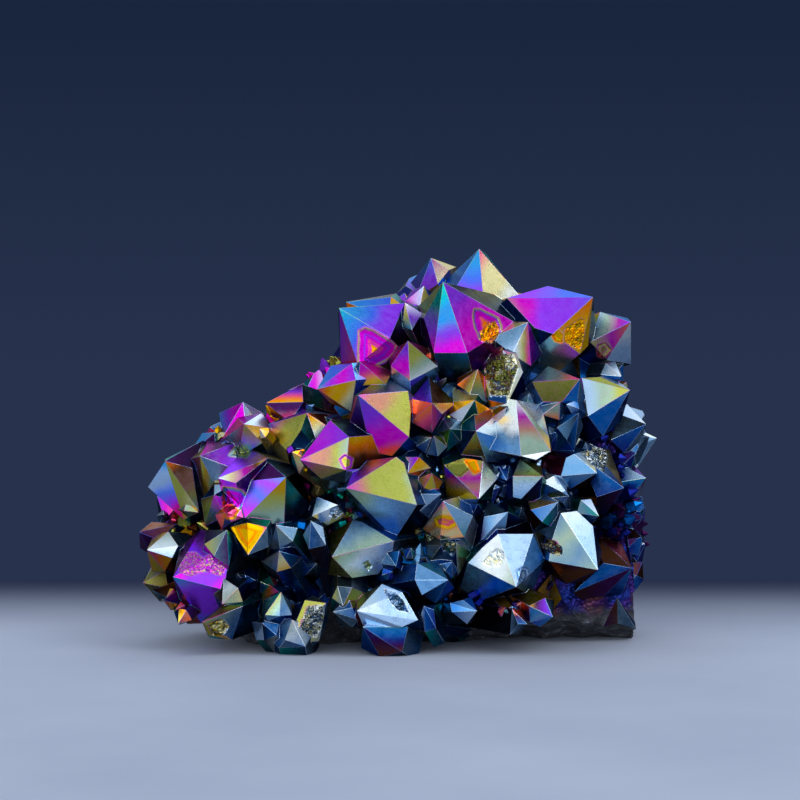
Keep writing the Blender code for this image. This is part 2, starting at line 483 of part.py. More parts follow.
def station(across):
    """The rock's lowest and highest height and its reach back, between two stations."""
    for left, right in zip(ROCK_STATIONS, ROCK_STATIONS[1:]):
        if across <= right[0]:
            break
    t = (across - left[0]) / (right[0] - left[0])
    return [a + (b - a) * t for a, b in zip(left[1:], right[1:])]


def squared(value):
    """Makes a circle's sine or cosine into that of a squarer round."""
    return math.copysign(abs(value) ** ROCK_SQUARENESS, value)


def arch_rise(x, y):
    """How far the underside stands clear of the table."""
    return ARCH_HEIGHT * ramp(x, *ARCH_START) * ramp(-y, -ARCH_BACK[0], -ARCH_BACK[1])


def foot_reach(x, z):
    """How far the front foot comes forward."""
    return FOOT_REACH * (1.0 - ramp(x, *ARCH_START)) * (1.0 - ramp(z, 0.0, FOOT_HEIGHT))


def rock_lump(chance):
    """The host rock: an uneven lump with a flat base, drawn as rings from left to right."""
    shape = bmesh.new()
    first = ROCK_STATIONS[0][0]
    last = ROCK_STATIONS[-1][0]
    rings = []
    for ring in range(ROCK_RINGS):
        along = ring / (ROCK_RINGS - 1)
        x = first + (last - first) * along
        low, high, back = station(x)
        taper = 0.62 + 0.38 * math.sqrt(min(1.0, 6.0 * along))
        calm = 0.2 + 0.8 * ramp(min(ring, ROCK_RINGS - 1 - ring), 0.0, 3.0)
        middle = 0.5 * (low + high)
        corners = []
        for side in range(ROCK_SIDES):
            turn = math.tau * (side + 0.5 * (ring % 2)) / ROCK_SIDES
            z = middle + 0.5 * (high - low) * taper * squared(math.sin(turn))
            front = show_depth(x, z) + CRUST - foot_reach(x, z)
            inner = 0.5 * (front + back)
            y = inner - 0.5 * (back - front) * taper * squared(math.cos(turn))
            jolt = [chance.uniform(-reach, reach) * calm for reach in ROCK_JOLT]
            z += jolt[2]
            z = max(z, arch_rise(x, y) - BASE_SKIN)
            corners.append(shape.verts.new((x + jolt[0], y + jolt[1], z)))
        rings.append(corners)
    for here, following in zip(rings, rings[1:]):
        for k in range(ROCK_SIDES):
            after = (k + 1) % ROCK_SIDES
            shape.faces.new((here[k], here[after], following[after], following[k]))
    shape.faces.new(rings[0][::-1])
    shape.faces.new(rings[-1])
    bmesh.ops.triangulate(shape, faces=shape.faces)
    return finished("host_rock", shape)


def inside_outline(point):
    """Whether a point stays inside the outline that the cluster shows to the sight point."""
    across, height = layout_place(point)
    inside = False
    for (x0, z0), (x1, z1) in zip(OUTLINE, OUTLINE[1:] + OUTLINE[:1]):
        if (z0 > height) != (z1 > height) and across < x0 + (x1 - x0) * (height - z0) / (z1 - z0):
            inside = not inside
    return inside


def rock_sites(rock, chance, count):
    """Random places on the rock, evenly spread over its area, each with the way the rock faces there."""
    faces = list(rock.data.polygons)
    weights = [face.area for face in faces]
    sites = []
    for face in chance.choices(faces, weights=weights, k=count):
        a, b, c = (rock.data.vertices[i].co for i in face.vertices)
        u, v = sorted((chance.random(), chance.random()))
        sites.append((a * u + b * (v - u) + c * (1.0 - v), face.normal.copy()))
    return sites


def wants_crystal(place, facing):
    """No points grow under the rock, on the low back where it broke off, or among those of the show side."""
    if facing.z < -0.45 or place.z < 4.0:
        return False
    if facing.y > 0.3 and place.z < BARE_BACK_HEIGHT + 5.0 * math.sin(0.21 * place.x):
        return False
    return facing.y > -0.35


def grown_crystals(rock, skin, show_tips, chance):
    """The points on the top, ends and back of the rock: large ones first, small ones between them."""
    taken = [(tip, SHOW_TIP_REACH) for tip in show_tips]
    found = []
    for wanted, girth, stand, least_right in GROWN_SIZES:
        made = 0
        for place, facing in rock_sites(rock, chance, GROWN_TRIES):
            if made == wanted:
                break
            if facing.x < least_right or not wants_crystal(place, facing):
                continue
            lean = Vector([chance.gauss(0.0, GROWN_SPREAD) for _ in range(3)])
            axis = (facing + Vector((0.0, 0.0, 0.25)) + lean).normalized()
            size = girth * chance.uniform(0.85, 1.15)
            tip = place + axis * stand * chance.uniform(0.9, 1.25)
            shoulder = tip - axis * size
            ends = [tip] + [shoulder + way * 0.6 * size for way in (UPWARD, -UPWARD, RIGHT, -RIGHT)]
            if not all(inside_outline(end) for end in ends):
                continue
            if any((tip - other).length < GROWN_SPACING * (size + reach) for other, reach in taken):
                continue
            taken.append((tip, size))
            root = root_length(skin, shoulder, axis, size)
            found.append(grown_crystal(f"grown_{len(found)}", tip, axis, size, root, chance))
            made += 1
    return found


def fused(rock, crystals):
    """One solid of the rock and every crystal on it."""
    group = bpy.data.collections.new("crystals")
    for crystal in crystals:
        group.objects.link(crystal)
    bpy.context.scene.collection.objects.link(rock)
    bpy.context.scene.collection.children.link(group)
    union = rock.modifiers.new("fuse", "BOOLEAN")
    union.operation = "UNION"
    union.operand_type = "COLLECTION"
    union.collection = group
    union.solver = "EXACT"
    bpy.context.view_layer.update()
    mesh = bpy.data.meshes.new_from_object(rock.evaluated_get(bpy.context.evaluated_depsgraph_get()))
    for made in [rock] + crystals:
        bpy.data.objects.remove(made)
    bpy.data.collections.remove(group)
    return mesh


def shells(shape):
    """The separate closed skins of a bmesh, as lists of faces."""
    left = set(shape.faces)
    found = []
    while left:
        skin = []
        edge_of = [left.pop()]
        while edge_of:
            face = edge_of.pop()
            skin.append(face)
            for border in face.edges:
                for neighbour in border.link_faces:
                    if neighbour in left:
                        left.remove(neighbour)
                        edge_of.append(neighbour)
        found.append(skin)
    return found


def solid_cluster(mesh):
    """The cluster as one skin: pockets between the roots are filled in, and the base is ground flat."""
    shape = bmesh.new()
    shape.from_mesh(mesh)
    outer = max(shells(shape), key=len)
    spare = set(shape.faces) - set(outer)
    bmesh.ops.delete(shape, geom=list(spare), context="FACES")
    cut(shape, Vector((0.0, 0.0, 0.0)), Vector((0.0, 0.0, -1.0)))
    bmesh.ops.remove_doubles(shape, verts=shape.verts, dist=MERGE_DISTANCE)
    bmesh.ops.dissolve_limit(shape, angle_limit=FLAT_ANGLE, verts=shape.verts, edges=shape.edges)
    bmesh.ops.triangulate(shape, faces=shape.faces)
    low = Vector([min(vert.co[i] for vert in shape.verts) for i in range(3)])
    high = Vector([max(vert.co[i] for vert in shape.verts) for i in range(3)])
    middle = Vector((0.5 * (low.x + high.x), 0.5 * (low.y + high.y), low.z))
    print("layout origin in the frame, mm:", [round(value, 3) for value in -middle])
    print("size, mm:", [round(value, 2) for value in high - low], "triangles:", len(shape.faces))
    bmesh.ops.translate(shape, verts=shape.verts, vec=-middle)
    bmesh.ops.scale(shape, verts=shape.verts, vec=(METRE, METRE, METRE))
    return finished("quartz_cluster", shape)


def coated_quartz():
    """Quartz under a metal film: dark, glossy and metallic."""
    material = bpy.data.materials.new("film_coated_quartz")
    material.use_nodes = True
    surface = material.node_tree.nodes["Principled BSDF"]
    surface.inputs["Base Color"].default_value = (0.10, 0.12, 0.28, 1.0)
    surface.inputs["Metallic"].default_value = 0.9
    surface.inputs["Roughness"].default_value = 0.2
    return material


def main():
    for obj in list(bpy.data.objects):
        bpy.data.objects.remove(obj)
    chance = random.Random(SEED)
    rock = rock_lump(chance)
    skin = BVHTree.FromPolygons([v.co for v in rock.data.vertices], [f.vertices for f in rock.data.polygons])
    points = [show_points(crystal, skin) for crystal in SHOW_SIDE]
    crystals = [hull_mesh(crystal.name, corners) for crystal, corners in zip(SHOW_SIDE, points)]
    crystals += grown_crystals(rock, skin, [corners[0] for corners in points], chance)
    cluster = solid_cluster(fused(rock, crystals))
    cluster.data.materials.append(coated_quartz())
    bpy.context.scene.collection.objects.link(cluster)


main()
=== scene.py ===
"""Aura quartz cluster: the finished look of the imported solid, its stage, light and camera.

The layout is the show side as it is seen from one sight point: a place on it is (across, height), in
millimetres. Everything else is in metres. +X is to the right, +Y away from the show side, +Z up.
"""

import math
import random

import bmesh
import bpy
import numpy as np
from bpy.props import FloatProperty, FloatVectorProperty, PointerProperty
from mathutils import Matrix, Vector, noise
from mathutils.bvhtree import BVHTree


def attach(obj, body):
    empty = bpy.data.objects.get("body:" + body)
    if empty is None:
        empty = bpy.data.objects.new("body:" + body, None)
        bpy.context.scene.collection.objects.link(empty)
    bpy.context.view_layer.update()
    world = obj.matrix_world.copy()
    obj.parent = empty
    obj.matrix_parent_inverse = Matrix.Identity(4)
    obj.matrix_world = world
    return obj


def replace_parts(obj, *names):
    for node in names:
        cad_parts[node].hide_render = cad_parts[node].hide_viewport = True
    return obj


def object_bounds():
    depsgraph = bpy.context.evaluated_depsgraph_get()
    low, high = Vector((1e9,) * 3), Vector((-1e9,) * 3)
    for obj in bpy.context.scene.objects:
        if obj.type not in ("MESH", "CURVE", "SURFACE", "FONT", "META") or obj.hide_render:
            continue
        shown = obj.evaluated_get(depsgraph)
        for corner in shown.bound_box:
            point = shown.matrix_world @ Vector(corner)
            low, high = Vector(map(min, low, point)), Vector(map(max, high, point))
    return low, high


bl_info = {
    "name": "Aura Quartz Cluster",
    "version": (1, 0, 0),
    "blender": (4, 5, 0),
    "location": "3D View > Sidebar > Aura Quartz",
    "description": "Dresses the packed solid of a coated quartz cluster and lights it on a plain floor",
    "category": "Object",
}

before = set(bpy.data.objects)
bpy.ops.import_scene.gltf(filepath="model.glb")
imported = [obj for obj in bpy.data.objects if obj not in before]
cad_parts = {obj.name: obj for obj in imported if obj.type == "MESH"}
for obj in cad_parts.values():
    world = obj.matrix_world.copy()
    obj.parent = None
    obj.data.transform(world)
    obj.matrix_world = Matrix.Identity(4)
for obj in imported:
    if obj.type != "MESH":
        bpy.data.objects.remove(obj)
SOLID_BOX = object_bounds()
SOLID = "quartz_cluster"

MM = 0.001

# The sight point, and where the layout's own origin lies in the frame.
SIGHT_DISTANCE = 600.0
SIGHT_TILT = math.radians(3.5)
SIGHT_MIDDLE = Vector((0.0, 0.0, 48.6))
LAYOUT_MIDDLE = 51.0
LAYOUT_ORIGIN = Vector((-0.749, -6.368, 0.0))
RIGHT = Vector((1.0, 0.0, 0.0))
FORWARD = Vector((0.0, math.cos(SIGHT_TILT), -math.sin(SIGHT_TILT)))
UPWARD = Vector((0.0, math.sin(SIGHT_TILT), math.cos(SIGHT_TILT)))
SIGHT_POINT = SIGHT_MIDDLE - FORWARD * SIGHT_DISTANCE + LAYOUT_ORIGIN
LENS = 135.0
SENSOR = 36.0

# The film's tones in the order of its thickness, thinnest first. The first, black, is no film colour but
# painted shade.
FILM_TONES = [
    ("black", "#07080d"),
    ("bronze", "#532f17"),
    ("plum", "#370e41"),
    ("indigo", "#131e70"),
    ("cobalt", "#03569d"),
    ("steel", "#6194c0"),
    ("sky", "#a3c3e2"),
    ("silver", "#dce7ea"),
    ("cream", "#e3db9d"),
    ("moss", "#a2a848"),
    ("gold", "#e8b000"),
    ("orange", "#f67800"),
    ("rose", "#e9487d"),
    ("magenta", "#cc00bb"),
    ("violet", "#7d2fc9"),
    ("blue", "#3f5fd3"),
    ("azure", "#2a8bcd"),
    ("teal", "#00aeab"),
    ("green", "#34a667"),
    ("lime", "#a7bd3b"),
]

# Duller tones of a film clouded by its growth steps: each with the tone whose thickness it has.
CLOUDED_TONES = [
    ("sage", "#92ad97", "moss"),
    ("slate", "#5a7c99", "steel"),
    ("dusk", "#b37b64", "rose"),
]

# The film: its drift over a face as a part of the face and the drift's size in millimetres, the width and
# light of a ridge's line, which is in part a painted highlight, how far along the order of thickness a
# ridge is, what is left of the light in a crevice under painted shade, and how far the film is a metal.
DRIFT = 0.10
DRIFT_SIZE = 3.2
RIDGE_ROUND = 0.16
RIM_LIGHT = 1.0
RIM_PALER = 0.12
RIM_RUNS_ON = 0.2
CREVICE_PAINTED_SHADE = 0.45
CREVICE_BLUE = "#154f9e"
FILM_METALLIC = 0.95

# Finding the faces in sight: where looks are sent through the layout and how far apart, in millimetres,
# and how many of them a face has to catch before it can have tones of its own. 40 looks are 1.6 square
# millimetres.
LOOKS_ACROSS = (-55.9, 56.0)
LOOKS_UP = (-3.1, 84.0)
LOOK_STEP = 0.2
LOOKS_TO_SHOW = 40

# A facet is in sight if it faces the sight point and the look at its middle ends this near to it, in
# millimetres.
SEEN_FACING = -0.03
SEEN_WITHIN = 0.3

# What a small face in sight shows where it has no tones of its own: dark runs of painted shade.
SHADED_RUNS = ("slate*0.5 cobalt*0.6", "cobalt*0.9 indigo*0.5", "black cobalt*0.8", "slate*0.7 black",
               "teal*0.5 indigo*0.4")

# The way from the cluster to the source of the vapour, and the middle that crystals grow away from.
VAPOUR_FROM = (-0.62, -0.52, 0.59)
CLUSTER_MIDDLE = (0.0, 4.0, 26.0)

# The rule for faces with no tones of their own. A face's place in the order of thickness is RULE_MIDDLE,
# more where it faces the vapour, to the left and above RULE_HEIGHT, with a little chance, and stays
# between the ends.
RULE_MIDDLE = 0.5
RULE_FACING = 0.15
RULE_DRIFT = 0.003
RULE_HEIGHT = 36.0
RULE_CHANCE = 0.09
RULE_ENDS = (0.16, 0.93)

# How far along that order such a face runs, how bright it is, with a little chance and between its own
# ends, and how bright it is at the foot, as a part of that.
RULE_SPREAD = (0.08, 0.2)
RULE_GLOW = 0.8
RULE_GLOW_CHANCE = 0.22
RULE_GLOW_ENDS = (0.3, 1.1)
RULE_FOOT_GLOW = 0.75

# Telling facets and rock apart, in millimetres and cosines.
WELD = 2e-4
FLAT = 0.03
LEVEL = math.cos(math.radians(1.2))
SLIVER = 1e-4
ROCK_SHALLOW = math.cos(math.radians(32.0))
ROCK_SHARED = 0.3
ROCK_AREA = 22.0
ROCK_PATCH = 8

# The flat base, and the flat break at the right end: how they face and where they are.
BASE_FACING = -0.99
BASE_TOP = 0.1
END_FACING = 0.95
END_FROM = 45.0
END_TOP = 24.0

# Longest edge of a triangle on the show side, on the rest and on the rock, and how a face on the show
# side faces.
SHOW_SIDE = -0.1
FRONT_SPACING = 1.15
BACK_SPACING = 1.6
ROCK_SPACING = 1.1
MARK_SPACING = 0.36

# Marks: how far apart their wandering is and how steep their sides are, in millimetres; the band outside
# steps that takes their first tone, in steps; how deep the first step goes, as a part of the whole; and
# how steps, contours and chips are laid out from noise.
MARK_WANDER = 1.1
MARK_EDGE = 0.2
MARK_SLOPE = 0.25
MARK_HALO = 1.5
STEP_FIRST = 0.35
STEP_WANDER = 0.2
CONTOURS_WANDER = 4.8
CONTOURS_INWARD = 0.75
CONTOURS_START = 15.0
CHIP_FLAT = 0.65
CHIP_FINER = 3.0

# How often long edges are halved.
HALVINGS = 6

# How open a place is: rays over its half of the sky, how far off its face they start and how far they
# look, in millimetres, and what a ray counts that is stopped only at its end. A free one counts 1.
OPEN_RAYS = 20
OPEN_START = 0.05
OPEN_REACH = 9.0
OPEN_STOPPED = 0.6
SEED = 7

# The host rock: the stops of its colour and of the film's on it.
ROCK_STOPS = ((0.36, "#1b1c21"), (0.56, "#393b41"), (0.66, "#646870"))
ROCK_FILM_STOPS = ((0.36, "#1a2c78"), (0.5, "#33185c"), (0.66, "#7a4620"))

# How far the host rock is worn, and the sizes of its lumps, chips and cracks, in millimetres. Below
# RAW_ROCK_TOP no crystals grew on it, and below BASE_LEVEL it keeps the flat that the cluster stands on.
ROCK_WORN = 0.7
CHIPS_WORN = 0.245
CRACKS_WORN = 0.175
ROCK_LUMP = 5.0
ROCK_CHIP = 1.3
ROCK_CRACK = 2.1
RAW_ROCK_TOP = 17.0
BASE_LEVEL = 0.4

# The film on the host rock: right of COATED_FROM it stops at the first of the two heights and left of
# there at the second, and it fades over FILM_FADES above them. All in millimetres.
COATED_FROM = 24.0
FILM_STOPS = (3.0, 8.0)
FILM_FADES = 7.0

# The wedged crystals: rays round each that find what it stands between; the length of its head and stem,
# how far its tip may be off its middle, all as parts of its width; how far its edges are from its axis,
# as parts of half the width; and what the stem loses of its light.
WEDGED_LOOKS = 10
WEDGED_HEAD = 0.62
WEDGED_STEM = 0.9
WEDGED_ASIDE = 0.12
WEDGED_REACH = (0.85, 1.1)
WEDGED_STEM_SHADE = 0.5

# Small points: how far from the box they stay in millimetres, how many grow in a crevice for each on the
# rock, how open the crevices are that they fill, how far they tilt in radians, how far down the rock may
# face under them, how bright they are, their length as parts of their width, and the tones that they take
# round places on the layout.
DRUSE_CLEAR = 2.6
DRUSE_IN_CREVICE = 0.35
DRUSE_OPEN = (0.10, 0.36)
DRUSE_TILT = 0.4
DRUSE_RISE = -0.2
DRUSE_GLOW = (0.5, 1.15)
DRUSE_LENGTH = (0.8, 1.5)
DRUSE_SIZES = (("Density", 4e5), ("Smallest", 0.0008), ("Largest", 0.0036))
DRUSE_TONES = [
    (-46.0, 24.0, "gold rose plum bronze moss"),
    (-40.0, 8.0, "gold orange magenta moss bronze"),
    (-30.0, 36.0, "magenta gold cream violet"),
    (-12.0, 52.0, "magenta moss steel violet"),
    (4.0, 70.0, "violet azure steel moss"),
    (-22.0, 18.0, "steel teal cobalt moss"),
    (0.0, 40.0, "moss steel gold teal"),
    (-4.0, 14.0, "steel cobalt teal indigo"),
    (22.0, 36.0, "steel sky cobalt silver"),
    (30.0, 14.0, "cobalt indigo steel"),
    (46.0, 40.0, "cobalt indigo plum indigo"),
    (44.0, 18.0, "plum indigo cobalt"),
    (40.0, 4.0, "orange plum indigo bronze"),
]

# Soft light panels: place, width and height in metres, radiance, colour.
LIGHT_PANELS = [
    ("front_panel", (-0.15, -1.30, 0.80), (1.4, 0.9), 0.80, "#ffffff"),
    ("low_front", (0.0, -1.00, 0.12), (1.8, 0.4), 1.30, "#e6eefb"),
    ("left_panel", (-1.10, -0.45, 0.65), (1.0, 0.9), 0.90, "#ffffff"),
    ("right_key", (0.70, -0.30, 0.85), (0.6, 0.6), 2.20, "#ffffff"),
    ("back_top", (0.10, 0.75, 1.00), (1.0, 0.7), 0.80, "#eef3ff"),
    ("back_panel", (0.0, 1.40, 0.70), (1.4, 0.7), 0.60, "#ffffff"),
]

# The room: its colours by the sine of the elevation, and the colour on the side that the sight point is
# on.
ROOM_COLOURS = [(-0.05, "#1c2439"), (0.07, "#101a2c"), (0.75, "#b8c4d8")]
BEFORE_COLOUR = "#8a9099"
EXPOSURE = 0.85

# The floor: the stops of its mottle, how far it goes on behind the frame's middle, and where the shade
# begins that deepens to that edge, in metres.
FLOOR_STOPS = ((0.3, "#8b92a0"), (0.7, "#969ca9"))
FLOOR_BEHIND = 0.097
SHADE_FROM = -0.008
SHADE_COLOUR = "#242a3c"
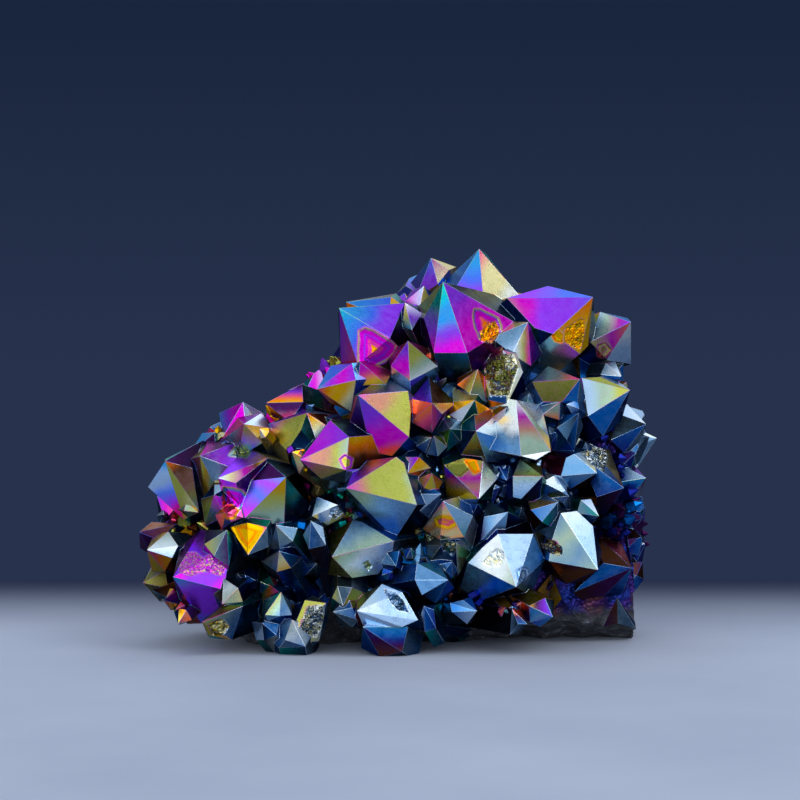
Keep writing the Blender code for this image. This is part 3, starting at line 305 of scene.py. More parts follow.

# The crystals in sight: each tip on the layout, across and height in millimetres, and then the faces that
# come nearest to it there, the widest first. A face has the way its tones run, in degrees anticlockwise
# from the right, and its tones from one end to the other. A number after * below 1 darkens the tone as
# painted shade, and one above 1 brightens it as painted light for the light that the face catches. A dash
# leaves a face to the rule.
CRYSTALS_IN_SIGHT = """
crown 8.6 74.6 = 300 violet violet magenta magenta |
    290 teal teal*0.9 azure*0.85 azure*0.85 violet*0.85 magenta*0.9 magenta*0.9 |
    330 slate*0.1 slate*0.14 slate*0.3 | 270 teal*0.4 teal*0.3 violet*0.8 magenta*0.8 |
    0 sage*0.9 moss*0.8 | 270 azure;
crown_back 15.8 81.2 = 330 rose cream cream*0.95 silver | 270 azure*0.75 azure*0.8 blue*0.9 violet |
    270 azure blue;
far_left_blue 6.2 79.4 = 300 magenta*0.5 cream*0.9 | 270 azure*0.8 violet*0.7 | 0 cream*0.8;
low_back 4.8 73.8 = 270 blue*0.9 violet*0.8 violet*0.5 | 0 magenta*0.9 sky*0.8 | 270 azure*0.7 violet*0.6 |
    0 cream*0.7 moss*0.6;
violet_nub 1 70.4 = 330 azure*0.85 azure*0.7 blue*0.75 violet*0.8 violet*0.8 |
    270 silver*0.9 violet*0.7 slate*0.6 | 270 cream*0.8 moss*0.6 azure*0.5 | 0 violet*0.6;
teal_corner -12.2 69.4 = 0 violet*0.6 rose*0.5;
corner_back -1.8 71.6 = 0 azure blue | 270 blue*0.5 violet*0.5;
right_violet 38.6 71.6 = 0 dusk*0.9 magenta*0.9 violet*1.2 violet*1.1 violet*1.1 blue |
    300 orange gold gold*0.8 | 0 violet*1.0 violet blue*0.9 blue*0.9 | 270 gold*0.75 | 270 steel*0.4 black;
right_pale 46.2 66.6 = 0 moss*0.9 magenta*0.7 orange*0.7 | 270 silver*1.1 silver sky sky*0.9 |
    350 sky*0.7 sage*0.9 magenta*0.5 violet*0.9;
between_white 25.6 66.6 = 300 slate*1.0 slate*1.2 sky*0.9 |
    0 silver*1.2 silver*1.2 cream*1.1 moss*1.1 rose magenta*1.1 | 300 indigo cobalt*0.5 |
    0 magenta violet*0.6 slate*0.4 | 0 cobalt*0.6 black | 0 cream*0.7;
broken_glass 20.6 61 = 270 moss*0.5 slate*0.7 cobalt*0.6 | 270 silver cream*0.8 | 270 moss*0.45 moss*0.5 |
    0 rose cream silver | 60 violet*0.5 rose*0.6 | 0 silver steel*0.6 black;
gold_wedge 15.6 57.2 = 270 azure*0.5 black black | 0 violet*0.4 plum | 270 orange*0.8 moss*0.6 slate*0.6 |
    330 orange*0.9 bronze*1.7 moss*0.7 | 0 orange*0.6 gold*0.6 | 270 orange;
olive_pink 36 55.2 = 290 slate*1.6 slate*1.6 slate*1.4 | 270 moss*0.26 moss*0.2 moss*0.15 |
    0 slate*1.8 sage*1.5 dusk*1.6 magenta*1.6 | 0 indigo*0.3 cobalt*0.4 | 270 cobalt cobalt*1.1 azure*0.7 |
    0 cobalt*0.9 black | 0 slate*0.7 sky*0.9 | 0 steel*0.4 black | - | 0 cream*0.4 black |
    0 black gold*0.5 | 0 cobalt;
green_right 46 53 = 0 sky*0.65 sky*0.65 sage*0.8 sage*0.9 moss*0.9 moss*0.95 |
    250 steel*0.9 cobalt*1.2 cobalt*1.1 cobalt | - | 0 moss*0.9 moss*0.8 | 0 silver*0.9 steel |
    0 indigo cobalt;
olive_block 32 50.6 = 0 sky*0.5 steel*0.6 cobalt*0.5 | 270 sage*0.9 sage*0.8 orange*0.8 | 0 steel*0.7 |
    0 slate*0.9 sage*0.8 | 0 indigo*0.5 | 0 steel*0.8;
dark_slab 35.8 48.4 = 0 black indigo*0.5 | 0 steel*0.28 black | - | 0 black silver*0.6 | 0 steel*0.4;
blue_wedge 32.2 44.8 = 0 cobalt | 0 teal*0.3 indigo*0.4 | 0 cobalt*0.7;
dark_flank 49.2 46.2 = 0 slate*0.25 black | 270 cobalt*0.9 indigo | 0 sky*0.65 silver*0.6 | 0 slate*0.8 |
    0 sky*0.6;
far_right 51.4 43.4 = 0 slate*0.8 | 0 slate*0.8;
sparkle 44.8 33.4 = 0 black plum*0.6 | 0 cream*0.6 bronze*0.5 | 0 steel*0.4 indigo*0.4 |
    0 bronze*0.6 plum*0.6 | 0 slate*0.3 cobalt*0.4 | 0 plum*0.6 | 0 cobalt*0.4 | 0 cobalt*0.8 |
    0 bronze*0.5 | - | 0 indigo cobalt;
flank_small 49.2 35.4 = 0 cobalt*1.1 sky sky*1.1 | 270 azure*0.7 cobalt | 0 plum indigo*0.5 |
    0 sky*0.4 plum | 0 indigo*0.6 | 0 violet*0.4;
pale_trap 39.4 36.4 = 270 cobalt*0.8 cobalt*0.6 indigo*0.6 | 270 slate*1.3 steel*0.8 steel*0.8 |
    270 steel*0.6 cobalt | 0 steel cream*0.7 | 0 black bronze*0.5 | 0 bronze*0.6 black | 0 plum indigo*0.4 |
    0 plum*0.5 | 0 cream*0.5 black;
white_sliver 33.8 31.8 = 0 bronze*0.6 black | 0 moss*0.25 steel*0.3 | 0 steel sky silver | 0 teal*0.3 |
    0 steel*0.4 indigo*0.5;
brown_blue 31.6 30.6 = 0 cobalt slate | 0 steel*0.6 black | - | 0 moss*0.8 dusk*0.7 | - | 0 cobalt sky;
dark_pale 39.8 27.8 = 0 indigo*0.4 violet*0.3 plum*0.4 | 0 plum indigo*0.5 | 0 slate*0.6 teal*0.4 |
    0 sky*0.9 silver | - | 0 teal*0.2 indigo*0.6 | - | 0 plum*0.8;
mid_gold 1.6 62.8 = 300 moss*0.9 moss*0.95 moss sage*1.1 silver*0.9 |
    290 violet violet magenta*1.1 magenta gold*0.9 | 270 slate*0.4 plum*0.6 black | 0 plum*0.5 |
    0 plum violet*0.6 | 0 magenta*0.9 orange | 0 steel*0.4 black | 0 silver*0.4 steel*0.4 | 0 magenta rose;
arc_magenta -8 58.6 = 330 teal azure*0.85 blue*0.9 violet magenta | 0 black bronze*0.7 |
    290 magenta*1.1 magenta rose*1.1 gold moss*0.9 | 290 magenta magenta*0.9 rose gold*0.9 |
    0 indigo*0.4 plum*0.5 | 0 azure violet | 0 teal cream cream*0.8;
magenta_big -8.4 52 = 290 blue violet*1.2 violet*1.3 magenta*1.2 magenta*1.2 dusk*1.2 |
    330 magenta*0.95 dusk dusk moss*0.9 moss*0.9 moss | 0 moss*0.6 sage*0.7 steel*0.9 sky*0.8 |
    270 blue*0.6 violet*0.5 plum*1.2 | 270 blue*0.7 violet*0.5;
violet_red 6.4 50.4 = 0 steel*0.5 | 300 orange*1.1 rose*0.9 plum*1.2 | 0 dusk*0.7 bronze*1.3 moss*0.5 |
    0 violet*1.1 violet blue*0.9 | 0 silver sky | 300 orange*1.1 rose*0.8 | 0 rose*0.6 violet*0.4 |
    0 cream*0.8 dusk*1.2 cream*0.9 | 270 silver*0.8 gold*0.8;
grey_knot 10 45.2 = 0 teal*0.25 cobalt*0.4 | 0 slate | 0 slate | 0 moss*0.3 green*0.3 | 0 slate |
    0 teal*0.3 | 0 bronze*0.8;
grey_foot 6.8 43.8 = 0 cobalt*0.5 | - | 0 sage*0.6 slate*0.7 | 0 slate*0.7 cobalt*0.5 | 0 steel*0.55 |
    0 bronze*0.6 | 0 magenta*0.4 | 0 moss*0.4 | 0 orange*0.3;
gold_white 15 51 = 0 cream gold*0.6 | 270 cream silver silver | 0 gold*0.6 gold*0.5 | 0 teal*0.25 |
    0 gold*0.9 gold orange*0.9 | - | 0 cream*0.7;
white_blue 15.2 44.8 = 0 steel*0.9 slate*1.1 | 0 gold*0.9 moss*0.8 bronze | 0 cobalt*0.5 indigo*0.5 |
    290 orange*0.9 dusk magenta | 300 silver*1.2 silver*1.2 steel*0.9 | 0 teal*0.35 cobalt*0.45;
stepped_gold 21.2 49.4 = 265 silver*1.2 silver*1.2 silver*1.15 silver*1.1 slate*1.2 steel steel*0.95 |
    0 black indigo*0.6 | 0 dusk silver*0.8 | 0 moss gold*0.8 dusk*0.7 | 0 gold*0.9 moss*0.6 | 0 steel*0.8;
cream_violet 29.8 43.6 = 270 silver magenta*0.7 dusk sage*1.1 sage | 300 silver*1.5 silver*1.5 sky*1.2 |
    300 silver*1.1 sage gold*0.9 | 0 silver*0.8 | 0 cobalt | 0 bronze*0.7 | 0 plum;
olive_violet 15.8 31.2 = 270 moss*0.9 dusk*0.9 magenta*0.6 dusk*0.8 magenta*0.8 |
    250 violet*0.9 magenta*0.7 gold*0.95 bronze*1.1 | 270 sage*1.4 silver*1.4 silver*1.2 |
    0 teal*0.3 black | 0 sky steel*0.9;
orange_mid 1.4 36.2 = 0 magenta*0.9 dusk*0.9 moss*0.85 moss*0.9 moss*0.95 sage*1.1 | - |
    300 orange*1.2 gold*1.1 gold cream | - | 0 dusk violet magenta | 0 orange*0.8;
gold_small 6.4 36.4 = - | - | 0 gold*0.9 moss | - | 0 gold*0.8 rose*0.8 | 0 cobalt | 0 gold*0.7 moss*0.6;
grey_wedge 8.2 32.2 = 0 slate*1.2 sky*0.7 | 0 slate*1.3 sky*0.8 | - | 0 moss*0.6 gold*0.5;
orange_peak 8.6 30.8 = 300 rose*1.6 cream orange*1.7 cream orange*1.7 | 270 slate*1.2 slate*1.1 teal*0.3 |
    300 rose*1.5 cream*0.9 orange*1.6 cream*0.9 orange*1.6 | 300 sky*0.8 steel cobalt |
    0 slate*0.8 cobalt*0.8;
blue_side 15.6 30.4 = 0 black indigo*0.6 | 0 cobalt*0.5 indigo*0.5 | - | 0 indigo*0.5;
chipped 11.2 22.4 = 0 black steel*0.4 cobalt*0.4 | 0 steel*0.35 steel*0.5 indigo*0.5 | 0 cream*0.6 black |
    0 silver sky*0.7 | 0 silver*0.8 | 0 steel*0.5;
blue_blob 10.4 18.6 = - | 0 steel cobalt indigo | 0 cobalt*0.8 | 0 steel*0.6 | 0 steel*0.6 cobalt*0.8;
pale_low 9.6 15 = 0 steel*1.1 steel*1.15 | 0 steel*1.2 | 0 black cobalt*0.6 | 0 azure*0.6 cobalt |
    0 cobalt indigo | 0 cobalt*0.6 | 0 indigo*0.6 | 0 cobalt*0.8 | 0 indigo*0.6;
blue_low 15.4 8.8 = 0 black black*0.8 | - | 0 cobalt*1.1 sky | 0 cobalt*1.2 steel | - | 0 cobalt*1.1 steel |
    - | 0 cobalt*0.8;
white_big 23.2 13.6 = 0 sky*0.8 silver*0.8 silver*0.8 sage*0.95 |
    330 steel*2.0 steel*2.0 cobalt*2.3 cobalt*2.1 | 0 sky*1.15 sky*1.15 sky*1.05 | 0 steel*1.8 cobalt*1.8 |
    0 steel*0.9 cobalt | 0 black gold*0.4 | 0 black bronze*0.4 | 0 indigo*0.5 black | - | 0 black gold;
pale_blue 21.6 28.6 = 0 plum*0.5 black | 0 plum*0.8 steel sky*0.8 steel | 0 cream*0.5 black steel*0.5 |
    0 indigo*0.3 cobalt*0.3 | - | 0 steel*0.9 steel | 0 bronze*0.5 | 0 cobalt*0.4 black | - | 0 indigo;
cream_big 39.6 17 = 300 slate*0.7 sage*0.65 slate*0.75 sage*0.65 | 300 silver*1.1 sky*1.2 sky*1.1 |
    270 plum*0.5 bronze*0.9 bronze*0.7 | 300 cobalt*0.9 cobalt*0.8 indigo*0.8 | 0 plum*0.4 bronze*0.4 |
    0 plum*0.7 bronze*0.5 | - | 0 plum*0.7 bronze | 0 bronze*1.1;
purple_foot 46.4 17.4 = 0 bronze*0.4 plum*0.9 plum*0.9 | 0 bronze*0.6 | 0 indigo*0.5 plum*0.5 |
    0 slate*0.35 | 0 indigo*0.9 cobalt*0.9 | 0 rose*0.4 bronze*0.7 | - | 0 indigo cobalt | - |
    0 bronze*0.5 | - | 0 bronze*0.6 plum*0.5 | 0 plum*0.8 | 0 plum*0.6 steel*0.3 | - | - |
    0 bronze*0.6 plum*0.6 | 0 bronze*0.6 | 0 indigo*0.6 | - | 0 plum*0.5 | - | - | 0 indigo*0.6;
ember_a 30.6 7.6 = 0 plum*0.6 bronze*0.6 | 0 indigo*1.3 cobalt plum | 0 indigo plum | 0 black gold*0.3 |
    0 bronze*0.5 plum*0.5 | 300 violet*0.8 azure*0.9 steel*0.9 blue*0.9 |
    0 gold*0.7 plum*1.2 violet blue*0.9 | - | - | 0 gold*0.4 bronze | - | - | 0 black gold*0.35 | - |
    0 blue azure;
ember_b 25.4 6.2 = 300 gold*1.2 orange*1.1 plum violet | - | 270 orange plum cobalt*0.7 | 0 orange*0.8 plum;
ember_c 23 7.8 = 0 black bronze*0.5 | 0 black gold*0.5 | - | - | 0 bronze*0.7;
small_pale 20 33.6 = 0 cobalt indigo | 0 indigo*0.7 | 0 indigo*0.7;
small_peak 21.2 38 = - | 0 indigo*0.5 | 0 silver steel | - | 0 cobalt | 0 silver*0.7 | 0 indigo;
right_grey 28.6 35.8 = 0 black rose*0.15 | 270 sage*1.1 sky*0.85 steel | 270 sage*1.7 sage*1.6 moss*1.6 |
    0 black indigo*0.4 | 0 sky*0.8 | 0 moss*0.7 | 0 teal*0.25;
violet_point -20 39 = 350 magenta*0.8 dusk*0.85 dusk*0.8 moss*0.7 sage*0.75 | 0 magenta*0.9 violet |
    300 magenta*1.0 dusk moss*0.7 | - | 270 gold cream*0.8 dusk;
yellow_big -10.8 33.4 = 320 sage*0.95 sage slate*1.5 slate*1.8 slate*2.0 |
    280 gold*1.1 orange bronze*0.8 black | 60 violet*1.2 violet*1.1 dusk*0.8 bronze*1.4 |
    0 moss*0.7 silver*0.6 | - | 0 sage*0.7 slate*0.7 | 0 slate*0.7 cobalt*0.8 | 0 teal*0.25 |
    0 silver*0.6 steel*0.6 | 0 silver sky*0.9;
gold_left -16.6 53.2 = 330 rose*0.8 orange*0.9 gold gold*0.95 cream*0.9 sage | 0 black teal*0.15 rose*0.35 |
    0 azure*0.8 violet magenta*0.9 violet | 0 azure*0.8 blue violet | 0 violet magenta*0.8 sky*0.8 |
    0 rose orange gold;
strip_back -26.8 50.4 = 270 plum*0.6 plum*1.2 violet*0.7 rose*0.8 orange*0.9 gold*0.85 |
    270 plum*0.7 plum*0.8 rose*0.35 | 0 orange*0.6 gold*0.4 | 0 orange*0.6 gold*0.4;
olive_left -18.6 48.4 = 320 violet*1.0 dusk moss*0.9 moss*0.9 moss | 0 teal*0.12 black |
    300 orange*0.8 gold cream silver*0.9 | 0 violet*0.25 black | 0 orange*0.7 bronze rose*0.4 |
    0 violet*0.8 | 0 moss*0.9;
cream_edge -13.8 47.2 = 0 steel*0.35 black | 0 cobalt*0.7;
amber_chip -21.6 40.6 = 300 gold cream cream*0.8 | 270 black cobalt*0.3 | 0 black |
    300 gold*0.9 cream silver*0.8 | 0 cream*0.6 | - | 0 gold orange;
mauve_back -31.4 50.6 = 0 azure*0.9 violet*1.1 magenta magenta*1.1 | 0 magenta*0.9 | 0 sky*0.9 silver*0.9 |
    0 sky silver*0.9;
chevron -31.2 46.2 = 270 moss*0.9 moss*0.9 sage azure*0.8 dusk*0.8 | 300 gold cream |
    0 violet*0.9 sky*0.7 rose*0.8 | 0 sky*0.9 silver*0.7 violet*0.5 | 0 magenta*1.2 rose*1.1 |
    0 magenta*0.6 violet*0.6;
tiny_violet -38 45.6 = 0 azure*0.5 plum*0.8 | 0 azure*0.5 plum*0.8;
tiny_cream -40 42.8 = 0 plum*0.6 black | 0 azure*0.6 steel*0.5 | 0 plum*0.8;
violet_roof -36.4 35.4 = 0 violet*1.2 violet*1.1 dusk*0.9 | 0 slate sky*0.6 |
    0 silver cream*0.9 magenta*0.7 bronze*1.2 gold*0.5 | 0 magenta*1.6 violet*1.6 magenta*1.6 |
    0 magenta*1.8 violet*1.6;
brown_twin -40 39.8 = 0 moss gold*0.5 teal*0.5 | 0 magenta*0.6 gold*0.6 | 0 cream*0.7 moss*0.6;
grey_twin -37.6 40.6 = 0 plum*1.1 violet*0.6 | 0 magenta*0.5 plum*0.9 plum;
teal_left -47 38.8 = 290 azure*1.9 sky*1.25 sky*1.1 blue*2.1 violet*2.1 magenta*1.8 rose*1.5 |
    300 orange*0.9 bronze*1.2 dusk*0.5 moss*0.5 slate*0.8 | 0 moss moss cream;
bronze_big -22.8 35.6 = 270 gold*0.9 gold*0.8 moss*1.2 sage*1.3 sage*1.6 |
    60 magenta*1.2 violet*1.3 blue*1.1 violet*1.4 azure*0.9 | 300 teal*0.3 teal*0.12 indigo*0.35 |
    0 plum*1.2 | 0 black | 0 slate*0.7;
magenta_chip -37.2 32 = 0 indigo*0.5 cobalt*0.4 | 60 moss*0.6 slate*0.6 magenta*1.3 |
    300 bronze moss*0.6 moss*0.7 cream*0.8 | 0 cobalt*0.5 black | - | 0 silver*0.9 | 0 magenta*1.3 violet;
pink_chip -34.8 28.6 = 0 plum*1.3 violet*0.3 | 0 magenta rose | 0 rose*1.1 orange | 0 rose*0.7 |
    270 magenta*1.8 rose*1.5 | - | 0 magenta*1.2 rose*1.2 | 0 gold orange;
gold_down -30.4 20 = 300 slate*0.35 black | 0 gold*1.1 orange*1.05 rose*1.05 |
    330 cream*1.1 gold*1.1 gold*1.1 | 0 black steel*0.4 | 0 slate*0.8 slate*0.6 | 0 cobalt*0.35 black |
    0 cobalt*0.5 | - | 0 moss*0.8 magenta;
etched_violet -45.4 15.6 = 270 azure*1.2 violet*1.7 violet*1.7 violet*1.6 blue*1.4 |
    300 magenta*0.95 violet*1.05 violet magenta*0.9 | 0 violet violet | 0 bronze*0.7 violet*0.4 |
    0 violet*0.4 dusk*0.4 | 0 bronze*0.6 plum*0.5 | 0 plum*0.9 violet*0.3 | 0 cobalt*0.6;
side_grey -34.6 25 = 0 slate*0.5 plum | 0 moss*0.5 slate*0.5 | 0 plum*0.8 slate*0.4 | 0 black indigo*0.5 |
    - | - | - | 0 steel*0.7 black | 0 violet magenta violet*0.9 | 0 cobalt*0.5;
slit_pale -35.6 10.2 = 300 slate*0.4 silver*0.6 sage*0.9 | 0 moss*0.45 moss*0.4 | 0 sage cream*0.7 | - |
    0 moss*0.4 black;
olive_round -38.4 4 = 330 moss*0.7 sage*0.6 slate*0.5 cobalt*0.4 | 0 moss*0.6 gold*0.5;
white_left -50.6 21 = 270 sage*0.9 silver*1.1 | 0 slate*0.6 cobalt*0.5 | 0 magenta*0.4 orange*0.4 gold*0.4 |
    270 silver*0.85 sky*0.8 | 0 gold*0.4 moss*0.4 | 0 cobalt*0.5 black | 0 cream*0.8 gold*0.5 |
    0 plum black;
rust_left -52.2 24.6 = 0 plum*1.2 bronze*1.2 | 0 slate*0.5 black | 0 violet*0.8 magenta*0.8 rose*0.8 |
    0 bronze dusk*0.6 | 0 plum black | 0 steel*0.3 black;
left_low -51.4 14.4 = 0 moss*0.35 moss*0.3 | 0 moss*0.25 plum*0.5 | 0 moss*0.35 plum*0.6;
pale_leaf -24.2 20.8 = 0 steel*0.8 cobalt | 300 sage*0.8 steel*0.8 | 0 cobalt*0.35 black |
    300 sage*1.1 cream*0.9 gold*0.8 | 0 indigo*0.6 black;
pale_stub -24.8 26 = 270 sage*0.7 slate*0.9 | 270 slate slate*0.9 | 0 black teal*0.3 |
    0 silver*0.7 steel*0.75 | 0 steel*0.6 | 300 azure*0.6 cobalt*0.8;
sky_stub -17.8 26.8 = - | 0 cobalt*0.6 slate*0.5 | 0 sky*0.8 | - | 0 sky*0.8 | 0 sky*0.8 steel*0.8;
sky_pale -12.4 30 = 300 cobalt sky*0.9 silver*0.8 | 0 sky silver*0.9 | - | 0 silver silver |
    0 indigo*0.4 black | - | 0 cobalt*0.5 | 0 cobalt indigo | 0 cobalt indigo;
moss_big -13.6 19.6 = 320 moss*1.2 sage*1.6 silver sky*1.2 sky*1.1 | 300 slate slate sage*0.85 sage*0.95 |
    0 bronze*0.6 cobalt*0.5 | 0 black moss*0.3 moss*0.35 | 0 moss*0.85 cream*0.7 | 0 bronze*0.6;
leaf_a -23.8 12.6 = 0 cobalt*0.9 indigo | 320 moss sage*1.2 steel | 0 slate*0.8 magenta*0.3 |
    320 sage steel*1.1 sky*0.9 | 0 black teal*0.3 | 0 cobalt*0.7 | 0 indigo*0.5 black | 0 steel*0.5;
blue_stub -21.6 7 = 300 sage*1.2 silver*0.85 steel*1.1 | - | 0 cobalt*0.9 steel*0.8 | 0 silver*0.7 slate |
    - | - | - | 0 steel*0.8 | 0 cobalt*0.6 indigo;
striped_gold -14.8 10.4 = 0 steel*0.4 cobalt*0.8 indigo*0.5 | 0 silver*0.6 cream*0.6 steel*0.5 |
    0 moss*0.8 | 0 steel*0.5 cobalt*0.4 | 0 steel*0.4 moss*0.3 | 0 steel*0.5 moss*0.4 | 0 cobalt*0.6 |
    0 steel*0.4 indigo*0.5;
tiny_blue -27.6 6.4 = 270 black cobalt*0.45 black | - | - | 0 black silver*0.5 | 0 cobalt*0.3 | - |
    0 steel*0.9 sky*0.7 | 0 sky*0.8 | 0 steel*0.5 | 0 steel*0.5 | 0 cobalt*0.7 | 0 teal*0.4 steel*0.5 |
    0 steel*0.6 | 0 cobalt*0.5;
olive_shard -11.4 9.8 = 0 moss*0.7 sage*0.6 | 0 slate*0.4 | 0 slate*0.4 | 0 moss*0.6 slate*0.6 | - |
    0 slate*0.6 cobalt*0.5;
slate_shard -13.4 8.6 = - | 0 cobalt*0.5 teal*0.3 | 0 slate*0.4 | 0 slate*0.6 cobalt*0.5 | 0 slate*0.4;
snow_big -8.6 8.8 = 0 silver*1.15 sky*1.2 sky*1.2 | 0 silver sky | 0 sky*1.05 sky | 0 sky sky*1.05 |
    0 sky*0.8 cobalt | 0 moss*0.6 sage*0.6 | 0 moss*0.45;
snow_skirt -7.4 5.6 = 270 azure*0.6 cobalt*1.1 indigo plum bronze | 270 indigo plum bronze*1.1 |
    270 cobalt*0.7 indigo*0.6 | - | 0 teal*0.2 black | - | 0 rose*0.3 bronze*0.6 | - | 0 sky*1.05;
green_dark -24.2 12.6 = 300 cobalt*0.7 indigo*0.4 black | 0 green*0.5 orange*0.6 magenta*0.8;
ultra_small -0.8 17.8 = - | - | 0 steel*0.7;
gold_bit -48.2 11.6 = 0 black moss*0.35 | 0 violet*0.35 violet*0.3;
pink_bit -45.8 9.2 = 0 rose*0.5 gold*0.8 | 0 violet*0.4;
amber_bit -44.4 6.2 = 0 violet*0.4 dusk*0.4 | 0 plum*0.9 orange*0.4 | 0 moss gold orange |
    0 moss*0.3 rose*0.3;
blue_fleck 2.2 21.4 = - | 0 cobalt*1.2 | - | - | - | - | 0 cobalt*1.3 indigo*1.4;
dark_low 4.8 9.8 = - | - | 0 cobalt*0.4 black | 0 black cobalt*0.5 | - | 0 cobalt indigo | 0 bronze*0.5 |
    - | - | 0 black plum*0.5 | 0 cobalt indigo | - | - | 0 silver*0.6 cobalt;
"""

# Places where growth or a break has marked a face: its kind, the width of a step or of a chip and its
# depth in millimetres, the tones from its border inwards, and its outline on the layout. Steps follow the
# outline inwards, contours wander, and a break is chips of every tone.
# A number after * darkens a tone as painted shade or brightens it as painted light.
MARKS = """
steps 0.3 0.15 | magenta moss violet magenta magenta magenta rose orange | 14.8 69.2, 16 69.2, 17.8 68.4,
    19.6 67.4, 20.4 65.8, 20.6 64.4, 18.4 62.2, 15.8 63.2, 15 65.6, 14.6 67.6 | crown terrace;
broken 0.8 0.35 | orange gold bronze orange gold magenta*0.7 | 17.6 66.6, 19.2 67, 20.2 65.4, 20 64.2,
    18.4 62.2, 16.2 62.8, 15.8 64.8, 16.8 65.4 | crown break;
broken 0.9 0.35 | gold orange*0.9 gold bronze gold*1.2 | 32.8 65.2, 36 67.4, 37 67, 37 62.2, 35.8 61, 32.8
    62.6 | right violet break;
steps 0.25 0.2 | cream orange gold gold gold*0.9 | 30.4 63.8, 31.6 65, 32.6 64.2, 32.4 62.4, 31 62.8 |
    right violet chip;
steps 0.3 0.16 | magenta moss*0.9 magenta magenta*0.9 magenta violet magenta magenta rose magenta orange
    gold | -8.4 58.4, -8.2 64.8, -7 65.4, -5.2 64.8, -0.6 62, -1.2 60.4, -3.2 58.6, -6 57.4 | teal corner
    terrace;
steps 0.28 0.18 | magenta*1.5 gold teal*1.2 violet*1.6 magenta*1.7 magenta*1.7 violet*1.6 magenta*1.7 |
    -35.4 33.6, -33.4 33.4, -31.4 32.8, -30.6 31.6, -30.8 30.2, -32 29, -33 27.2, -34.2 27, -34.8 29,
    -35.2 31 | bronze terrace;
steps 0.3 0.22 | gold orange rose rose rose | -35.4 30.4, -34 30.4, -32.4 29, -33.4 27.4, -34.6 27.4,
    -35.4 29.2 | bronze foot;
contours 0.34 0.16 | violet magenta moss magenta violet | -43 20.8, -40.8 20.8, -39.4 19.6, -37.6 20.8,
    -36 19.2, -34.6 17.4, -35.6 15.6, -39 16.6, -42 15.6, -44.4 16.6, -44 19 | violet contours;
broken 0.6 0.12 | cream sky silver cream silver sky*0.9 | 19.4 21.4, 20.8 20.6, 20.8 19, 20 17.6, 17.4
    17.6, 16.4 18.4, 18 20.4 | white specks;
steps 0.3 0.15 | sky cobalt sky cobalt*0.8 sky sky | 23.4 17, 24.4 17.6, 25.6 17.2, 25.8 15.8, 25.2 14.4,
    23.8 15 | white ring;
broken 0.8 0.7 | black cream*0.6 bronze*0.7 black steel*0.5 gold*0.5 | 28.2 22.4, 29.6 23.6, 31.2 22.6,
    32.4 21.6, 32.6 20.2, 31.6 19.8, 30 20.4, 28.6 21.2 | cream break;
steps 0.24 0.12 | moss magenta violet gold moss moss | -12.2 39.2, -11 40.2, -9.4 39.2, -9.8 37.6, -11.2
    37 | violet diamond;
steps 0.24 0.14 | moss bronze*0.8 moss*0.5 moss*0.5 moss*0.5 | 9.4 37.8, 10.4 38.8, 13.2 38.8, 13.8 37.4,
    12.2 35.8, 10 36.2 | olive hexagon;
steps 0.25 0.1 | moss orange*0.9 orange*0.9 gold*0.8 | 12.8 39, 15.2 39.2, 16 36.8, 14.8 36.2 | olive
    corner;
steps 0.34 0.12 | orange*1.6 gold*1.5 orange*1.7 rose*1.3 orange*1.7 gold*1.5 | 7 27.2, 8.6 27.8, 11 27.2,
    11.4 26.2, 9.8 25.4, 7.4 25.8 | orange arcs;
steps 0.28 0.14 | moss magenta gold cream rose moss | 39.4 62, 41.2 62.6, 42.4 61, 40.8 59.4, 39.6 59.8 |
    pale chevron;
steps 0.3 0.14 | moss steel*0.8 moss cobalt*0.6 moss steel*0.7 | -34 40, -32 42.8, -30 40.6, -30.8 39.6 |
    left chevron;
broken 1.0 0.5 | moss*0.4 moss*0.5 bronze slate*0.5 cream*0.6 moss*0.4 | 17.2 59.6, 22.4 60.4, 23.8 57.8,
    21.8 51.8, 18 51.8, 16.8 56.2 | glass break;
broken 0.5 0.3 | silver black cream silver | 20.6 60.2, 22.8 60.2, 23.4 58.2, 21.8 56.6, 21 58.2 | glass
    lines;
broken 0.8 0.45 | moss*0.4 silver*0.7 black slate*0.6 cream*0.6 | -18.6 9.8, -15.6 10.2, -14.8 6.6, -16.8
    3.4, -19.2 4.2, -20 6.2 | striped break;
broken 1.0 0.6 | steel*0.6 black cobalt*0.6 sky*0.8 steel*0.4 | -3.4 13.4, -0.8 12.8, 1 10.6, 2 8.4, -0.4
    9, -2 10.8 | snow break;
broken 0.8 0.55 | black silver black steel*0.5 cream black | 37 42.8, 40.4 42.8, 41.6 39.8, 40.8 36.6, 38
    38.2, 36.2 40.6 | sparkle break;
broken 0.7 0.35 | sage moss*0.6 sage | -7.6 18.2, -6.4 19, -5.4 17.8, -6.4 16.6 | moss crack;
broken 0.9 0.5 | teal*0.3 black cream*0.5 steel*0.4 black | 3 24.8, 4.8 24.8, 10.4 23.4, 12.4 22, 10.4
    19.8, 7.2 22, 4 22.8 | dark knot break;
steps 0.45 0.1 | gold gold*1.05 gold*0.95 orange gold | -33.8 26, -31 26.6, -27.6 25.2, -28.8 22.8, -30.6
    20.8, -32.4 23 | gold facet;
broken 0.9 0.45 | moss*0.5 gold*0.5 black cream*0.6 moss*0.4 | -38.4 6.4, -35.6 7.4, -34 5.8, -35.6 3.6,
    -37.6 3.8 | olive round break;
broken 0.8 0.4 | silver black sky steel*0.7 silver | -14 29.6, -12 30.4, -11.2 28.6, -12.8 27, -14.2 27.8
    | grey mid break;
"""
